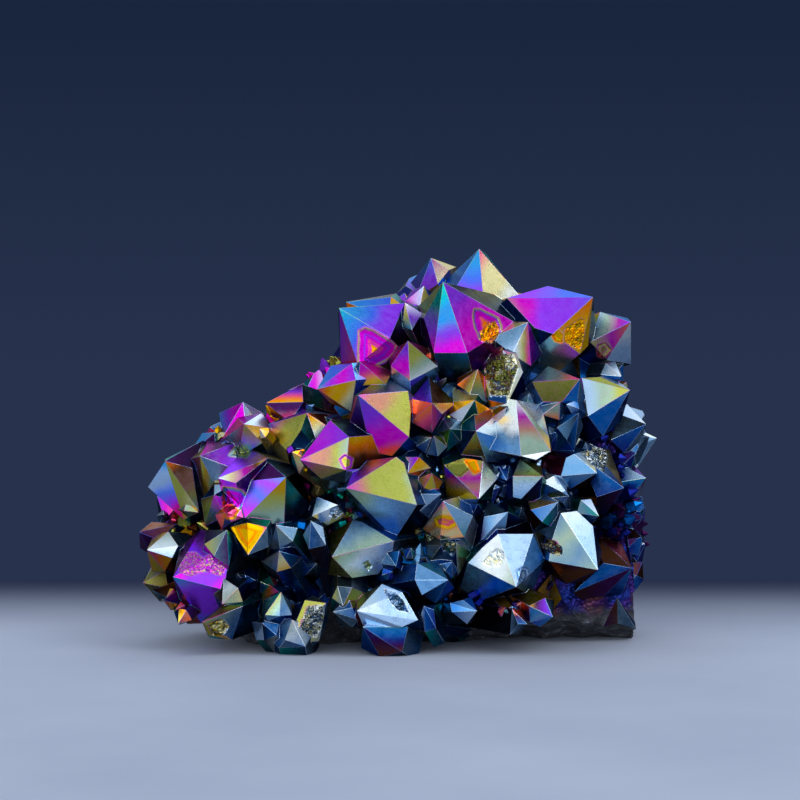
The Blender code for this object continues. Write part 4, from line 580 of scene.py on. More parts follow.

# Small crystals wedged between the bigger ones on the show side. Each row: the tip on the layout, the
# width and how far it stands proud of what is round it in millimetres, how much it leans and which way,
# and the tones of its head from tip to foot, face after face anticlockwise from the right.
# A number after * darkens a tone as painted shade or brightens it as painted light.
WEDGED = """
1.5 70.1 4.8 1 1 100 | slate*0.5 / cream*0.8 slate*0.7 / plum*0.8 slate*0.4
9.3 58.1 2.4 0 0.3 0 | orange gold / orange dusk / gold moss
6.1 60.5 2 0 0.5 90 | gold orange / cream gold
9.3 55.5 4 0 0.6 60 | moss*0.6 slate*0.6 / plum*0.8 violet*0.5 / slate*0.5 cobalt*0.6
20.7 61.9 3.6 0 0.6 80 | cream*0.9 dusk / dusk*1.1 rose*0.7 / sage*0.8
-15.5 48.5 2.8 1 0.9 100 | gold cream / gold rose*0.8 / cream silver*0.8
-17.5 48.7 2.2 0 0.8 90 | rose*0.6 orange*0.8 / plum rose*0.5
-28.1 45.3 2.6 2 1.6 135 | cream gold / gold gold / silver*0.9 cream
-19.9 40.9 2.6 1 1 110 | gold dusk / orange gold / cream dusk
-40.3 28.5 4 1 0.9 350 | moss gold*0.8 cream*0.7 / moss*0.8 sage*0.7
-47.3 28.1 3.6 1 0.3 90 | slate*0.5 black / silver*0.5 slate*0.6 / black slate*0.4
-21.5 16.5 5.2 1 0.5 30 | cobalt slate*0.8 / slate*0.8 cobalt*0.6 / indigo cobalt*0.6
-28.9 14.9 5.6 1 0.4 0 | blue*0.6 indigo / cobalt*0.8 indigo / indigo cobalt*0.7
-24.9 13.3 4.8 1 0.6 330 | magenta*0.8 orange*0.7 / green*0.5 teal*0.3 / green*0.4 cobalt*0.4
-16.7 18.3 5.2 1 0.6 60 | slate*0.9 cobalt*0.6 / steel*0.7 cobalt*0.5 / slate*0.6 black
-17.5 14.9 3.6 0 0.4 0 | steel*0.9 slate / cobalt*0.7 slate*0.5
-1.5 16.7 3.2 1 0.6 30 | violet*0.7 blue / blue*0.8 cobalt
1.7 21.3 3 1 0.6 60 | blue*1.2 cobalt / cobalt indigo
8.3 21.9 7.2 1 0.3 90 | slate*0.4 cobalt*0.5 / silver*0.4 slate*0.4 / cobalt*0.4 slate*0.3
4.3 24.9 1.8 1 0.4 0 | gold silver / cream gold
17.7 32.7 5.2 0 0.4 180 | cobalt*0.6 slate*0.5 / slate*0.5 cobalt*0.6
21.3 34.9 4 1 0.4 270 | sky*0.8 cobalt / cobalt indigo*0.8
24.3 29.5 6.8 0 0.4 60 | slate*0.4 cobalt*0.4 / slate*0.3 black / cobalt*0.5 slate*0.3
33.5 32.1 6.4 1 0.8 330 | silver*0.8 sky*0.8 / sky*0.9 silver*0.8 / slate*0.6 black / slate*0.5 cobalt*0.5
44.3 55.7 5.2 2 0.8 0 | sky*0.8 silver*0.8 / silver*0.9 slate*0.8 / cobalt cobalt*0.7
39.5 56.5 4.4 1 0.4 90 | sky*0.7 cobalt / slate cobalt*0.8
25.9 52.3 5.2 1 0.5 90 | sky*0.6 cobalt*0.6 / sky*0.7 steel*0.8 / steel*0.7 cobalt*0.6
9.7 42.7 5.6 0 0.4 300 | slate*0.6 sage*0.5 / moss*0.4 slate*0.5 / sage*0.5 cobalt*0.5
6.3 43.5 4.8 1 0.6 60 | moss*0.7 sage*0.8 / sage*0.7 slate*0.7 / slate*0.6 cobalt*0.5
33.3 50.1 4 1 0.6 150 | sky*0.7 cobalt*0.8 / cobalt*0.8 black
32.5 43.5 4.4 0 0.5 120 | cobalt azure*0.5 cobalt*0.6 / indigo cobalt*0.5
37.1 42.5 3.4 1 0.5 90 | sky cobalt / azure*0.8 cobalt
-20.1 10.5 2.2 1 0.5 60 | blue cobalt / cobalt indigo
-31.3 9.7 2.4 1 0.9 60 | cream gold*0.6 / cobalt*0.7 sky*0.6
-32.5 16.3 3.6 0 0.5 90 | slate*0.6 cobalt*0.5 / sage*0.4 slate*0.4
16.5 9.1 3 0 0.4 0 | bronze dusk*0.6 / bronze*0.8 black
21.1 9.5 2.6 1 0.5 60 | gold orange plum / orange rose*0.6
24.3 10.5 3 1 0.5 60 | gold orange plum / orange plum indigo
34.1 11.3 6 0 0.3 0 | indigo*1.1 bronze*0.8 / blue*0.6 plum / bronze plum
42.1 10.9 11.2 -1 0.3 330 | plum*1.2 bronze / indigo plum / bronze*0.9 bronze
-46.7 11.5 2.8 0 0.6 210 | orange*0.8 magenta*0.5 / dusk gold*0.7
-44.9 9.1 2.6 0 0.6 210 | orange rose*0.6 / gold orange*0.8
30.7 14.5 5.6 0 0.5 30 | moss*0.5 bronze / slate*0.4 bronze / plum bronze*0.8
-10.9 16.7 4.4 0 0.3 240 | slate*0.4 cobalt*0.5 / sage*0.4 slate*0.4
-12.7 10.9 4.4 0 0.4 150 | silver*0.5 slate*0.6 / slate*0.5 black
4.1 32.9 2.8 0 0.4 60 | sky*0.8 slate / silver*0.7 slate
3.1 50.5 2.4 0 0.5 180 | orange gold*0.7 / rose*0.6 orange
"""


def linear(code):
    """A linear colour from an sRGB hex value."""
    parts = [int(code[i:i + 2], 16) / 255.0 for i in (1, 3, 5)]
    return [c / 12.92 if c <= 0.04045 else ((c + 0.055) / 1.055) ** 2.4 for c in parts]


def add(tree, kind, settings=(), links=()):
    """Adds a node, with settings for its properties and sockets, and what its sockets are linked to."""
    node = tree.nodes.new(kind)
    for key, value in dict(settings).items():
        if isinstance(key, str) and hasattr(node, key):
            setattr(node, key, value)
        else:
            node.inputs[key].default_value = value
    for key, source in dict(links).items():
        output = source.outputs[0] if isinstance(source, bpy.types.Node) else source
        tree.links.new(output, node.inputs[key])
    return node


def span(low, high, start=0.0, end=1.0):
    """The settings of a map range."""
    return {"From Min": low, "From Max": high, "To Min": start, "To Max": end}


def opaque(code):
    """A node's colour from an sRGB hex value."""
    return linear(code) + [1.0]


def set_stops(ramp, stops):
    """Gives a colour ramp its stops, each a place from 0 to 1 and an sRGB hex value."""
    elements = ramp.color_ramp.elements
    while len(elements) < len(stops):
        elements.new(1.0)
    for element, (place, code) in zip(elements, stops):
        element.position = place
        element.color = opaque(code)


def blend(where, row):
    """Values between the entries of a row, at places counted along it: of numbers, or of colours."""
    row = np.asarray(row)
    if row.ndim == 1:
        return np.interp(where, range(len(row)), row)
    return np.stack([np.interp(where, range(len(row)), row[:, k]) for k in range(3)], axis=-1)


def new_material(name):
    """A material with an empty tree, and that tree."""
    material = bpy.data.materials.new(name)
    material.use_nodes = True
    material.node_tree.nodes.clear()
    return material, material.node_tree


def tone_place(name):
    """Where a tone stands in the order of film thickness, from 0 for the thinnest film to 1."""
    names = [tone for tone, _ in FILM_TONES]
    return names.index(name) / (len(names) - 1)


def film_over_quartz():
    """Titanium oxide vapour film on quartz, deposited from the upper left.

    To the eye it is a satin mirror whose colour runs with the film's thickness, and a thin line of the
    next colours follows every ridge, where more vapour arrives; on a thin pale film that line is paler, a
    painted highlight. In a crevice the colour is darkened as painted shade.
    """
    material, tree = new_material("titanium_film_on_quartz")
    coat = add(tree, "ShaderNodeAttribute", {"attribute_name": "coat"})
    rim = add(tree, "ShaderNodeAttribute", {"attribute_name": "rim"})
    opened = add(tree, "ShaderNodeAttribute", {"attribute_name": "opened"})
    where = add(tree, "ShaderNodeTexCoord")
    # A ridge is where the normal, rounded over the ridge's width, leaves the flat face's own.
    rounded = add(tree, "ShaderNodeBevel", {"samples": 6, "Radius": RIDGE_ROUND * MM})
    true = add(tree, "ShaderNodeNewGeometry")
    turned = add(tree, "ShaderNodeVectorMath", {"operation": "DOT_PRODUCT"},
                 {0: rounded, 1: true.outputs["True Normal"]})
    ridge = add(tree, "ShaderNodeMapRange", span(0.995, 0.94),
                {"Value": turned.outputs["Value"]})
    bare = add(tree, "ShaderNodeMapRange", span(0.12, 0.5), {"Value": opened.outputs["Fac"]})
    ridge = add(tree, "ShaderNodeMath", {"operation": "MULTIPLY"}, {0: ridge, 1: bare})
    # Growth steps, 1.6 mm apart and finer, let a little of the next colours through.
    steps = add(tree, "ShaderNodeTexNoise", {"Scale": 1.0 / (1.6 * MM), "Detail": 6.0, "Roughness": 0.68},
                {"Vector": where.outputs["Object"]})
    through = add(tree, "ShaderNodeMapRange", span(0.45, 0.75, 0.0, 0.07),
                  {"Value": steps.outputs["Fac"]})
    share = add(tree, "ShaderNodeMath", {"operation": "MAXIMUM"}, {0: ridge, 1: through})
    colour = add(tree, "ShaderNodeMix", {"data_type": "RGBA"},
                 {0: share, 6: coat.outputs["Color"], 7: rim.outputs["Color"]})
    # Down in a crevice the film thins out to blue, and the colour is darkened there as painted shade.
    thin = add(tree, "ShaderNodeMapRange", span(0.28, 0.10, 0.0, 0.7),
               {"Value": opened.outputs["Fac"]})
    colour = add(tree, "ShaderNodeMix", {"data_type": "RGBA", 7: opaque(CREVICE_BLUE)},
                 {0: thin, 6: colour.outputs[2]})
    lit = add(tree, "ShaderNodeMapRange", span(0.03, 0.13, CREVICE_PAINTED_SHADE),
              {"Value": opened.outputs["Fac"]})
    colour = add(tree, "ShaderNodeMix", {"data_type": "RGBA", "blend_type": "MULTIPLY", 0: 1.0},
                 {6: colour.outputs[2], 7: lit})
    grain = add(tree, "ShaderNodeTexNoise", {"Scale": 1.0 / (0.35 * MM), "Detail": 2.0},
                {"Vector": where.outputs["Object"]})
    height = add(tree, "ShaderNodeMath", {"operation": "MULTIPLY_ADD", 1: 0.25},
                 {0: grain.outputs["Fac"], 2: steps.outputs["Fac"]})
    bump = add(tree, "ShaderNodeBump", {"Strength": 0.35, "Distance": 0.06 * MM},
               {"Height": height, "Normal": rounded})
    worn = add(tree, "ShaderNodeMapRange", span(0.35, 0.7, 0.24, 0.36),
               {"Value": steps.outputs["Fac"]})
    surface = add(tree, "ShaderNodeBsdfPrincipled",
                  {"Metallic": FILM_METALLIC, "Specular Tint": (0.5, 0.5, 0.5, 1.0)},
                  {"Base Color": colour.outputs[2], "Roughness": worn, "Normal": bump})
    add(tree, "ShaderNodeOutputMaterial", {}, {"Surface": surface})
    return material


def broken_rock():
    """Chalcedony and basalt host rock, split off the wall of its cavity with a hammer.

    To the eye it is a dull blue-grey of sharp small breaks, with dark bands of blue, plum and bronze metal
    where the film reached it.
    """
    material, tree = new_material("split_host_rock")
    where = add(tree, "ShaderNodeTexCoord")
    reach = add(tree, "ShaderNodeAttribute", {"attribute_name": "film"})
    opened = add(tree, "ShaderNodeAttribute", {"attribute_name": "opened"})
    grain = add(tree, "ShaderNodeTexNoise", {"Scale": 1.0 / (2.4 * MM), "Detail": 8.0, "Roughness": 0.7},
                {"Vector": where.outputs["Object"]})
    grit = add(tree, "ShaderNodeTexVoronoi", {"Scale": 1.0 / (0.7 * MM)}, {"Vector": where.outputs["Object"]})
    stone = add(tree, "ShaderNodeValToRGB", {}, {"Fac": grain.outputs["Fac"]})
    set_stops(stone, ROCK_STOPS)
    coat = add(tree, "ShaderNodeMapRange", span(0.3, 0.7), {"Value": grain.outputs["Fac"]})
    coat = add(tree, "ShaderNodeMath", {"operation": "MULTIPLY_ADD", 1: 0.5},
               {0: coat, 2: reach.outputs["Fac"]})
    coated = add(tree, "ShaderNodeMapRange", span(0.55, 0.85), {"Value": coat})
    bands = add(tree, "ShaderNodeTexNoise", {"Scale": 1.0 / (6.0 * MM), "Detail": 3.0},
                {"Vector": where.outputs["Object"]})
    tint = add(tree, "ShaderNodeValToRGB", {}, {"Fac": bands.outputs["Fac"]})
    set_stops(tint, ROCK_FILM_STOPS)
    colour = add(tree, "ShaderNodeMix", {"data_type": "RGBA"},
                 {0: coated, 6: stone.outputs["Color"], 7: tint.outputs["Color"]})
    # Painted shade: the rock's colour is darkened where it is less open.
    lit = add(tree, "ShaderNodeMapRange", span(0.0, 0.4, 0.1),
              {"Value": opened.outputs["Fac"]})
    colour = add(tree, "ShaderNodeMix", {"data_type": "RGBA", "blend_type": "MULTIPLY", 0: 1.0},
                 {6: colour.outputs[2], 7: lit})
    rough = add(tree, "ShaderNodeMapRange", span(0.0, 1.0, 0.85, 0.32), {"Value": coated})
    metal = add(tree, "ShaderNodeMath", {"operation": "MULTIPLY", 1: 0.9}, {0: coated})
    height = add(tree, "ShaderNodeMath", {"operation": "ADD"},
                 {0: grain.outputs["Fac"], 1: grit.outputs["Distance"]})
    bump = add(tree, "ShaderNodeBump", {"Strength": 0.7, "Distance": 0.35 * MM}, {"Height": height})
    surface = add(tree, "ShaderNodeBsdfPrincipled", {},
                  {"Base Color": colour.outputs[2], "Roughness": rough, "Metallic": metal,
                   "Normal": bump})
    add(tree, "ShaderNodeOutputMaterial", {}, {"Surface": surface})
    return material


def merged_solid():
    """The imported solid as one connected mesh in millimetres."""
    shape = bmesh.new()
    shape.from_mesh(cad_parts[SOLID].data)
    bmesh.ops.scale(shape, verts=shape.verts, vec=Vector((1.0, 1.0, 1.0)) / MM)
    bmesh.ops.remove_doubles(shape, verts=shape.verts, dist=WELD)
    shape.faces.ensure_lookup_table()
    shape.normal_update()
    return shape


def mark_facets(shape):
    """Gives every triangle the number of the flat facet it is part of, and returns the facets' triangles."""
    layer = shape.faces.layers.int.new("facet")
    for face in shape.faces:
        face[layer] = -1
    facets = []
    for seed in sorted(shape.faces, key=lambda face: -face.calc_area()):
        if seed[layer] >= 0:
            continue
        normal = seed.normal.copy()
        level = normal.dot(seed.verts[0].co)
        seed[layer] = len(facets)
        members = [seed]
        for face in members:
            for neighbour in (other for border in face.edges for other in border.link_faces):
                off = max(abs(normal.dot(vert.co) - level) for vert in neighbour.verts)
                if neighbour[layer] >= 0 or off > FLAT:
                    continue
                if neighbour.normal.dot(normal) > LEVEL or neighbour.calc_area() < SLIVER:
                    neighbour[layer] = len(facets)
                    members.append(neighbour)
        facets.append(members)
    return facets


def rock_facets(shape, facets):
    """The facets of the host rock: they meet their neighbours at shallow angles, in patches of many."""
    layer = shape.faces.layers.int["facet"]
    area = [sum(face.calc_area() for face in members) for members in facets]
    shared = {}
    for border in shape.edges:
        pair = tuple(sorted(face[layer] for face in border.link_faces))
        shared[pair] = shared.get(pair, 0.0) + border.calc_length()
    beside = {}
    for (one, two), length in shared.items():
        shallow = facets[one][0].normal.dot(facets[two][0].normal) > ROCK_SHALLOW
        small = max(area[one], area[two]) < ROCK_AREA
        if one != two and shallow and small and length > ROCK_SHARED:
            beside.setdefault(one, set()).add(two)
            beside.setdefault(two, set()).add(one)
    rock = set()
    seen = set()
    for first in beside:
        patch = [first] if first not in seen else []
        seen.add(first)
        for here in patch:
            patch += [other for other in beside[here] if other not in seen]
            seen |= beside[here]
        if len(patch) >= ROCK_PATCH:
            rock |= set(patch)
    for number, members in enumerate(facets):
        normal = members[0].normal
        middle = members[0].calc_center_median()
        is_base = normal.z < BASE_FACING and middle.z < BASE_TOP
        is_end = normal.x > END_FACING and middle.x > END_FROM and middle.z < END_TOP
        if is_base or is_end:
            rock.add(number)
    return rock


def refine(shape, spacing, marks):
    """Halves long edges until each is within the spacing that its facet, or a mark on it, asks for."""
    layer = shape.faces.layers.int["facet"]
    for _ in range(HALVINGS):
        edges = [edge for edge in shape.edges if edge.link_faces]
        ends = np.array([(*edge.verts[0].co, *edge.verts[1].co) for edge in edges])
        numbers = np.array([(edge.link_faces[0][layer], edge.link_faces[-1][layer]) for edge in edges])
        length = np.linalg.norm(ends[:, 3:] - ends[:, :3], axis=1)
        long = length > spacing[numbers].min(axis=1)
        seen = layout_places(0.5 * (ends[:, :3] + ends[:, 3:]))
        for mark in marks:
            marked = np.isin(numbers, list(mark.facets)).any(axis=1)
            near = np.nonzero((length > MARK_SPACING) & ~long & marked)[0]
            long[near] = mark.inward(seen[near]) > -0.5 - 0.5 * length[near]
        bmesh.ops.subdivide_edges(shape, edges=[edges[k] for k in np.nonzero(long)[0]], cuts=1)
        bmesh.ops.triangulate(shape, faces=[face for face in shape.faces if len(face.verts) > 3])


def sight_ray(across, height):
    """The direction from the sight point through a place on the layout."""
    return (FORWARD * SIGHT_DISTANCE + RIGHT * across + UPWARD * (height - LAYOUT_MIDDLE)).normalized()


def layout_places(points):
    """Where points of the cluster, in millimetres, are seen on the layout."""
    offset = points - np.array(SIGHT_POINT)
    scale = SIGHT_DISTANCE / (offset @ np.array(FORWARD))
    height = offset @ np.array(UPWARD) * scale + LAYOUT_MIDDLE
    return np.stack([offset @ np.array(RIGHT) * scale, height], axis=1)


class Film:
    """The film's colours, from the tones that the panel holds."""

    def __init__(self, settings):
        self.tones = np.array([tuple(getattr(settings, name)) for name, _ in FILM_TONES])
        self.clouded = {name: (tone_place(like), linear(code)) for name, code, like in CLOUDED_TONES}

    def at(self, place):
        """The linear colour at places in the order of thickness, 0 to 1."""
        return blend(np.clip(place, 0.0, 1.0) * (len(self.tones) - 1), self.tones)

    def run(self, run):
        """Places and colours of a run of tones such as 'gold rose magenta*0.6', dimmed as painted shade or
        brightened as painted light as it says.
        """
        words = [word.partition("*") for word in run.split()]
        tones = []
        for name, _, share in words:
            place, colour = self.clouded.get(name) or (tone_place(name), self.at(tone_place(name)))
            tones.append((place, np.array(colour) * float(share or 1.0)))
        return np.array([place for place, _ in tones]), np.array([colour for _, colour in tones])

    def rim(self, place):
        """The colour of a ridge: a thin pale film gets paler there as a painted highlight, and a thicker one
        runs on.
        """
        paler = np.minimum(place + RIM_PALER, tone_place("silver"))
        return self.at(np.where(place < tone_place("cream"), paler, place + RIM_RUNS_ON))


def faces_by_tip(tree, shape, tips):
    """The facets in sight under the tip that each comes nearest to on the layout, the widest first."""
    layer = shape.faces.layers.int["facet"]
    seen = {}
    for across in np.arange(*LOOKS_ACROSS, LOOK_STEP):
        for height in np.arange(*LOOKS_UP, LOOK_STEP):
            hit = tree.ray_cast(SIGHT_POINT, sight_ray(across, height))
            if hit[2] is not None:
                seen.setdefault(shape.faces[hit[2]][layer], []).append((across, height))
    under = [[] for _ in tips]
    for number, places in sorted(seen.items(), key=lambda item: (-len(item[1]), item[0])):
        if len(places) >= LOOKS_TO_SHOW:
            away = np.linalg.norm(np.array(places)[:, None] - tips, axis=2).min(axis=0)
            under[np.argmin(away)].append(number)
    return under


def shown_runs(tree, shape, film):
    """The run of each face that has one, by its facet's number: its clock in radians, places and colours."""
    rows = [row.partition("=") for row in CRYSTALS_IN_SIGHT.split(";") if "=" in row]
    tips = np.array([[float(word) for word in head.split()[1:]] for head, _, _ in rows])
    runs = {}
    for (_, _, faces), under in zip(rows, faces_by_tip(tree, shape, tips)):
        for number, face in zip(under, faces.split("|")):
            clock, _, run = face.strip().partition(" ")
            if run:
                runs[number] = (math.radians(float(clock)), *film.run(run))
    return runs


class Mark:
    """A growth step, contour or break on the faces in sight."""

    def __init__(self, row, tree, shape, film):
        head, run, outline, _ = row.split("|")
        self.kind, width, depth = head.split()
        self.width = float(width)
        self.depth = float(depth)
        self.places, self.colours = film.run(run)
        self.outline = np.array([[float(word) for word in place.split()] for place in outline.split(",")])
        layer = shape.faces.layers.int["facet"]
        middle = self.outline.mean(axis=0)
        self.facets = set()
        for place in [middle, *(middle + (corner - middle) * 0.7 for corner in self.outline)]:
            hit = tree.ray_cast(SIGHT_POINT, sight_ray(*place))
            if hit[2] is not None:
                self.facets.add(shape.faces[hit[2]][layer])

    def inward(self, seen):
        """How far inside the outline each place on the layout is, in millimetres, and below zero outside."""
        nearest = np.full(len(seen), 1e9)
        inside = np.zeros(len(seen), dtype=bool)
        for one, two in zip(self.outline, np.roll(self.outline, -1, axis=0)):
            side = two - one
            along = np.clip((seen - one) @ side / (side @ side), 0.0, 1.0)
            nearest = np.minimum(nearest, np.linalg.norm(seen - one - along[:, None] * side, axis=1))
            crosses = (one[1] > seen[:, 1]) != (two[1] > seen[:, 1])
            rise = side[1] if abs(side[1]) > 1e-9 else 1e-9
            inside ^= crosses & (seen[:, 0] < one[0] + (seen[:, 1] - one[1]) * side[0] / rise)
        return np.where(inside, nearest, -nearest)

    def level(self, points, inward):
        """Which tone each point shows, counted along the run."""
        last = len(self.places) - 1
        if self.kind == "broken":
            chips = [CHIP_FLAT * noise.cell(point / self.width)
                     + (1.0 - CHIP_FLAT) * noise.noise(point / self.width * CHIP_FINER) for point in points]
            return (np.array(chips) % 1.0) * last
        wander = np.array([noise.noise(point / MARK_WANDER) for point in points])
        if self.kind == "contours":
            return (CONTOURS_WANDER * wander + CONTOURS_INWARD * inward + CONTOURS_START) % 1.0 * last
        return np.clip(1.0 + (inward + STEP_WANDER * wander) / self.width, 0.0, last)


def in_sight(middle, normal, tree):
    """Whether a facet's middle can be seen from the sight point."""
    way = middle - SIGHT_POINT
    hit = tree.ray_cast(SIGHT_POINT, way.normalized())
    faces_sight = way.normalized().dot(normal) < SEEN_FACING
    return faces_sight and hit[0] is not None and (hit[0] - middle).length < SEEN_WITHIN


def openness(points, normals, tree):
    """How open the space before each point is, 0 to 1, from rays over its half of the sky."""
    found = np.zeros(len(points))
    turn = math.pi * (3.0 - math.sqrt(5.0))
    sky = []
    for k in range(OPEN_RAYS):
        height = 1.0 - (k + 0.5) / OPEN_RAYS
        around = math.sqrt(1.0 - height * height)
        sky.append(Vector((around * math.cos(turn * k), around * math.sin(turn * k), height)))
    upright = Vector((0.0, 0.0, 1.0))
    for index, (point, normal) in enumerate(zip(points, normals)):
        normal = Vector(normal)
        turned = upright.rotation_difference(normal)
        start = Vector(point) + normal * OPEN_START
        free = 0.0
        for way in sky:
            hit = tree.ray_cast(start, turned @ way, OPEN_REACH)
            free += 1.0 if hit[0] is None else hit[3] / OPEN_REACH * OPEN_STOPPED
        found[index] = free / OPEN_RAYS
    return found


def mesh_piece(name, mesh, material):
    """A finished piece of the object, riding on the part's one body."""
    piece = bpy.data.objects.new(name, mesh)
    bpy.context.scene.collection.objects.link(piece)
    mesh.materials.append(material)
    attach(piece, "root")
    return piece


def dressed_skin(film):
    """The cluster's skin as a fine mesh in millimetres, and what is known of its facets."""
    chance = random.Random(SEED)
    shape = merged_solid()
    tree = BVHTree.FromBMesh(shape)
    facets = mark_facets(shape)
    rock = rock_facets(shape, facets)
    normals = np.array([members[0].normal for members in facets])
    middles = np.array([members[0].calc_center_median() for members in facets])
    runs = shown_runs(tree, shape, film)
    for number, (middle, normal) in enumerate(zip(middles, normals)):
        if number not in runs and number not in rock and in_sight(Vector(middle), Vector(normal), tree):
            runs[number] = (0.0, *film.run(chance.choice(SHADED_RUNS)))
    facing = normals @ -np.array(FORWARD)
    spacing = np.where(facing > SHOW_SIDE, FRONT_SPACING, BACK_SPACING)
    spacing[list(rock)] = ROCK_SPACING
    marks = [Mark(row, tree, shape, film) for row in MARKS.split(";") if "|" in row]
    refine(shape, spacing, marks)
    shape.verts.index_update()
    shape.normal_update()
    return shape, tree, facets, rock, normals, middles, runs, marks, chance


def rule_run(normal, middle, chance, film):
    """Places and colours that the vapour's direction gives a facet, with the facet's own chance in it."""
    faces_vapour = normal @ np.array(VAPOUR_FROM)
    drift = RULE_DRIFT * (middle[2] - RULE_HEIGHT - middle[0])
    place = RULE_MIDDLE + RULE_FACING * faces_vapour + drift + chance.gauss(0.0, RULE_CHANCE)
    place = min(max(place, RULE_ENDS[0]), RULE_ENDS[1])
    spread = chance.uniform(*RULE_SPREAD)
    glow = min(max(RULE_GLOW + chance.gauss(0.0, RULE_GLOW_CHANCE), RULE_GLOW_ENDS[0]), RULE_GLOW_ENDS[1])
    places = np.linspace(place - spread, place, 4)
    return places, film.at(places) * np.linspace(glow * RULE_FOOT_GLOW, glow, 4)[:, None]


def coat_on(shape, facets, normals, middles, runs, marks, chance, film):
    """The film's colour and its ridges' colour at every corner of every triangle."""
    layer = shape.faces.layers.int["facet"]
    corners = np.array([vert.index for face in shape.faces for vert in face.verts])
    number = np.repeat([face[layer] for face in shape.faces], 3)
    points = np.array([vert.co for vert in shape.verts])
    seen = layout_places(points)
    drift = np.array([noise.noise(vert.co / DRIFT_SIZE) for vert in shape.verts])
    coat = np.zeros((len(corners), 3))
    rim = np.zeros((len(corners), 3))
    order = np.argsort(number, kind="stable")
    starts = np.searchsorted(number[order], np.arange(len(facets) + 1))
    centre = np.array(CLUSTER_MIDDLE)
    for facet in range(len(facets)):
        members = order[starts[facet]:starts[facet + 1]]
        if not len(members):
            continue
        if facet in runs:
            clock, places, colours = runs[facet]
            along = seen[corners[members]] @ np.array([math.cos(clock), math.sin(clock)])
        else:
            places, colours = rule_run(normals[facet], middles[facet], chance, film)
            outward = middles[facet] - centre
            outward = outward - normals[facet] * (outward @ normals[facet])
            along = points[corners[members]] @ (outward / (np.linalg.norm(outward) + 1e-9))
        along = (along - along.min()) / max(np.ptp(along), 1e-6) + DRIFT * drift[corners[members]]
        t = along * (len(places) - 1)
        coat[members] = blend(t, colours)
        rim[members] = film.rim(blend(t, places)) * RIM_LIGHT
    for mark in marks:
        members = np.nonzero(np.isin(number, list(mark.facets)))[0]
        inward = mark.inward(seen[corners[members]])
        keep = inward > -MARK_HALO * mark.width
        members, inward = members[keep], inward[keep]
        level = mark.level([Vector(point) for point in points[corners[members]]], inward)
        tint = blend(level, mark.colours)
        share = inward / mark.width + MARK_HALO if mark.kind == "steps" else inward / MARK_EDGE
        share = np.clip(share, 0.0, 1.0)
        coat[members] += (tint - coat[members]) * share[:, None]
        rim[members] += (tint - rim[members]) * share[:, None]
    return coat, rim


def carve_marks(shape, marks, normals):
    """Sinks every mark into its face."""
    layer = shape.faces.layers.int["facet"]
    for mark in marks:
        verts = list({vert for face in shape.faces if face[layer] in mark.facets for vert in face.verts})
        inward = mark.inward(layout_places(np.array([vert.co for vert in verts])))
        level = mark.level([vert.co for vert in verts], inward) / max(len(mark.places) - 1, 1)
        for vert, inside, part in zip(verts, inward, level):
            own = [face[layer] for face in vert.link_faces]
            if inside <= 0.0 or any(number not in mark.facets for number in own):
                continue
            rise = min(inside / MARK_SLOPE, 1.0)
            share = STEP_FIRST + (1.0 - STEP_FIRST) * part if mark.kind == "steps" else part
            vert.co -= Vector(normals[own[0]]) * (mark.depth * rise * share)


def plain_mesh(shape, name, wanted):
    """A mesh in metres of the triangles whose facet is wanted, its corners' numbers and its triangles."""
    layer = shape.faces.layers.int["facet"]
    faces = [face for face in shape.faces if wanted(face[layer])]
    used = sorted({vert.index for face in faces for vert in face.verts})
    place = {index: k for k, index in enumerate(used)}
    shape.verts.ensure_lookup_table()
    mesh = bpy.data.meshes.new(name)
    mesh.from_pydata([shape.verts[i].co * MM for i in used], [],
                     [[place[vert.index] for vert in face.verts] for face in faces])
    return mesh, used, faces


def put_attribute(mesh, name, domain, values):
    """Writes a row of numbers, or of colours, on the mesh as a named attribute."""
    values = np.asarray(values, dtype=np.float32)
    if values.ndim == 1:
        mesh.attributes.new(name, "FLOAT", domain).data.foreach_set("value", values)
    else:
        solid = np.concatenate([values, np.ones((len(values), 1), dtype=np.float32)], axis=1)
        mesh.attributes.new(name, "FLOAT_COLOR", domain).data.foreach_set("color", solid.ravel())


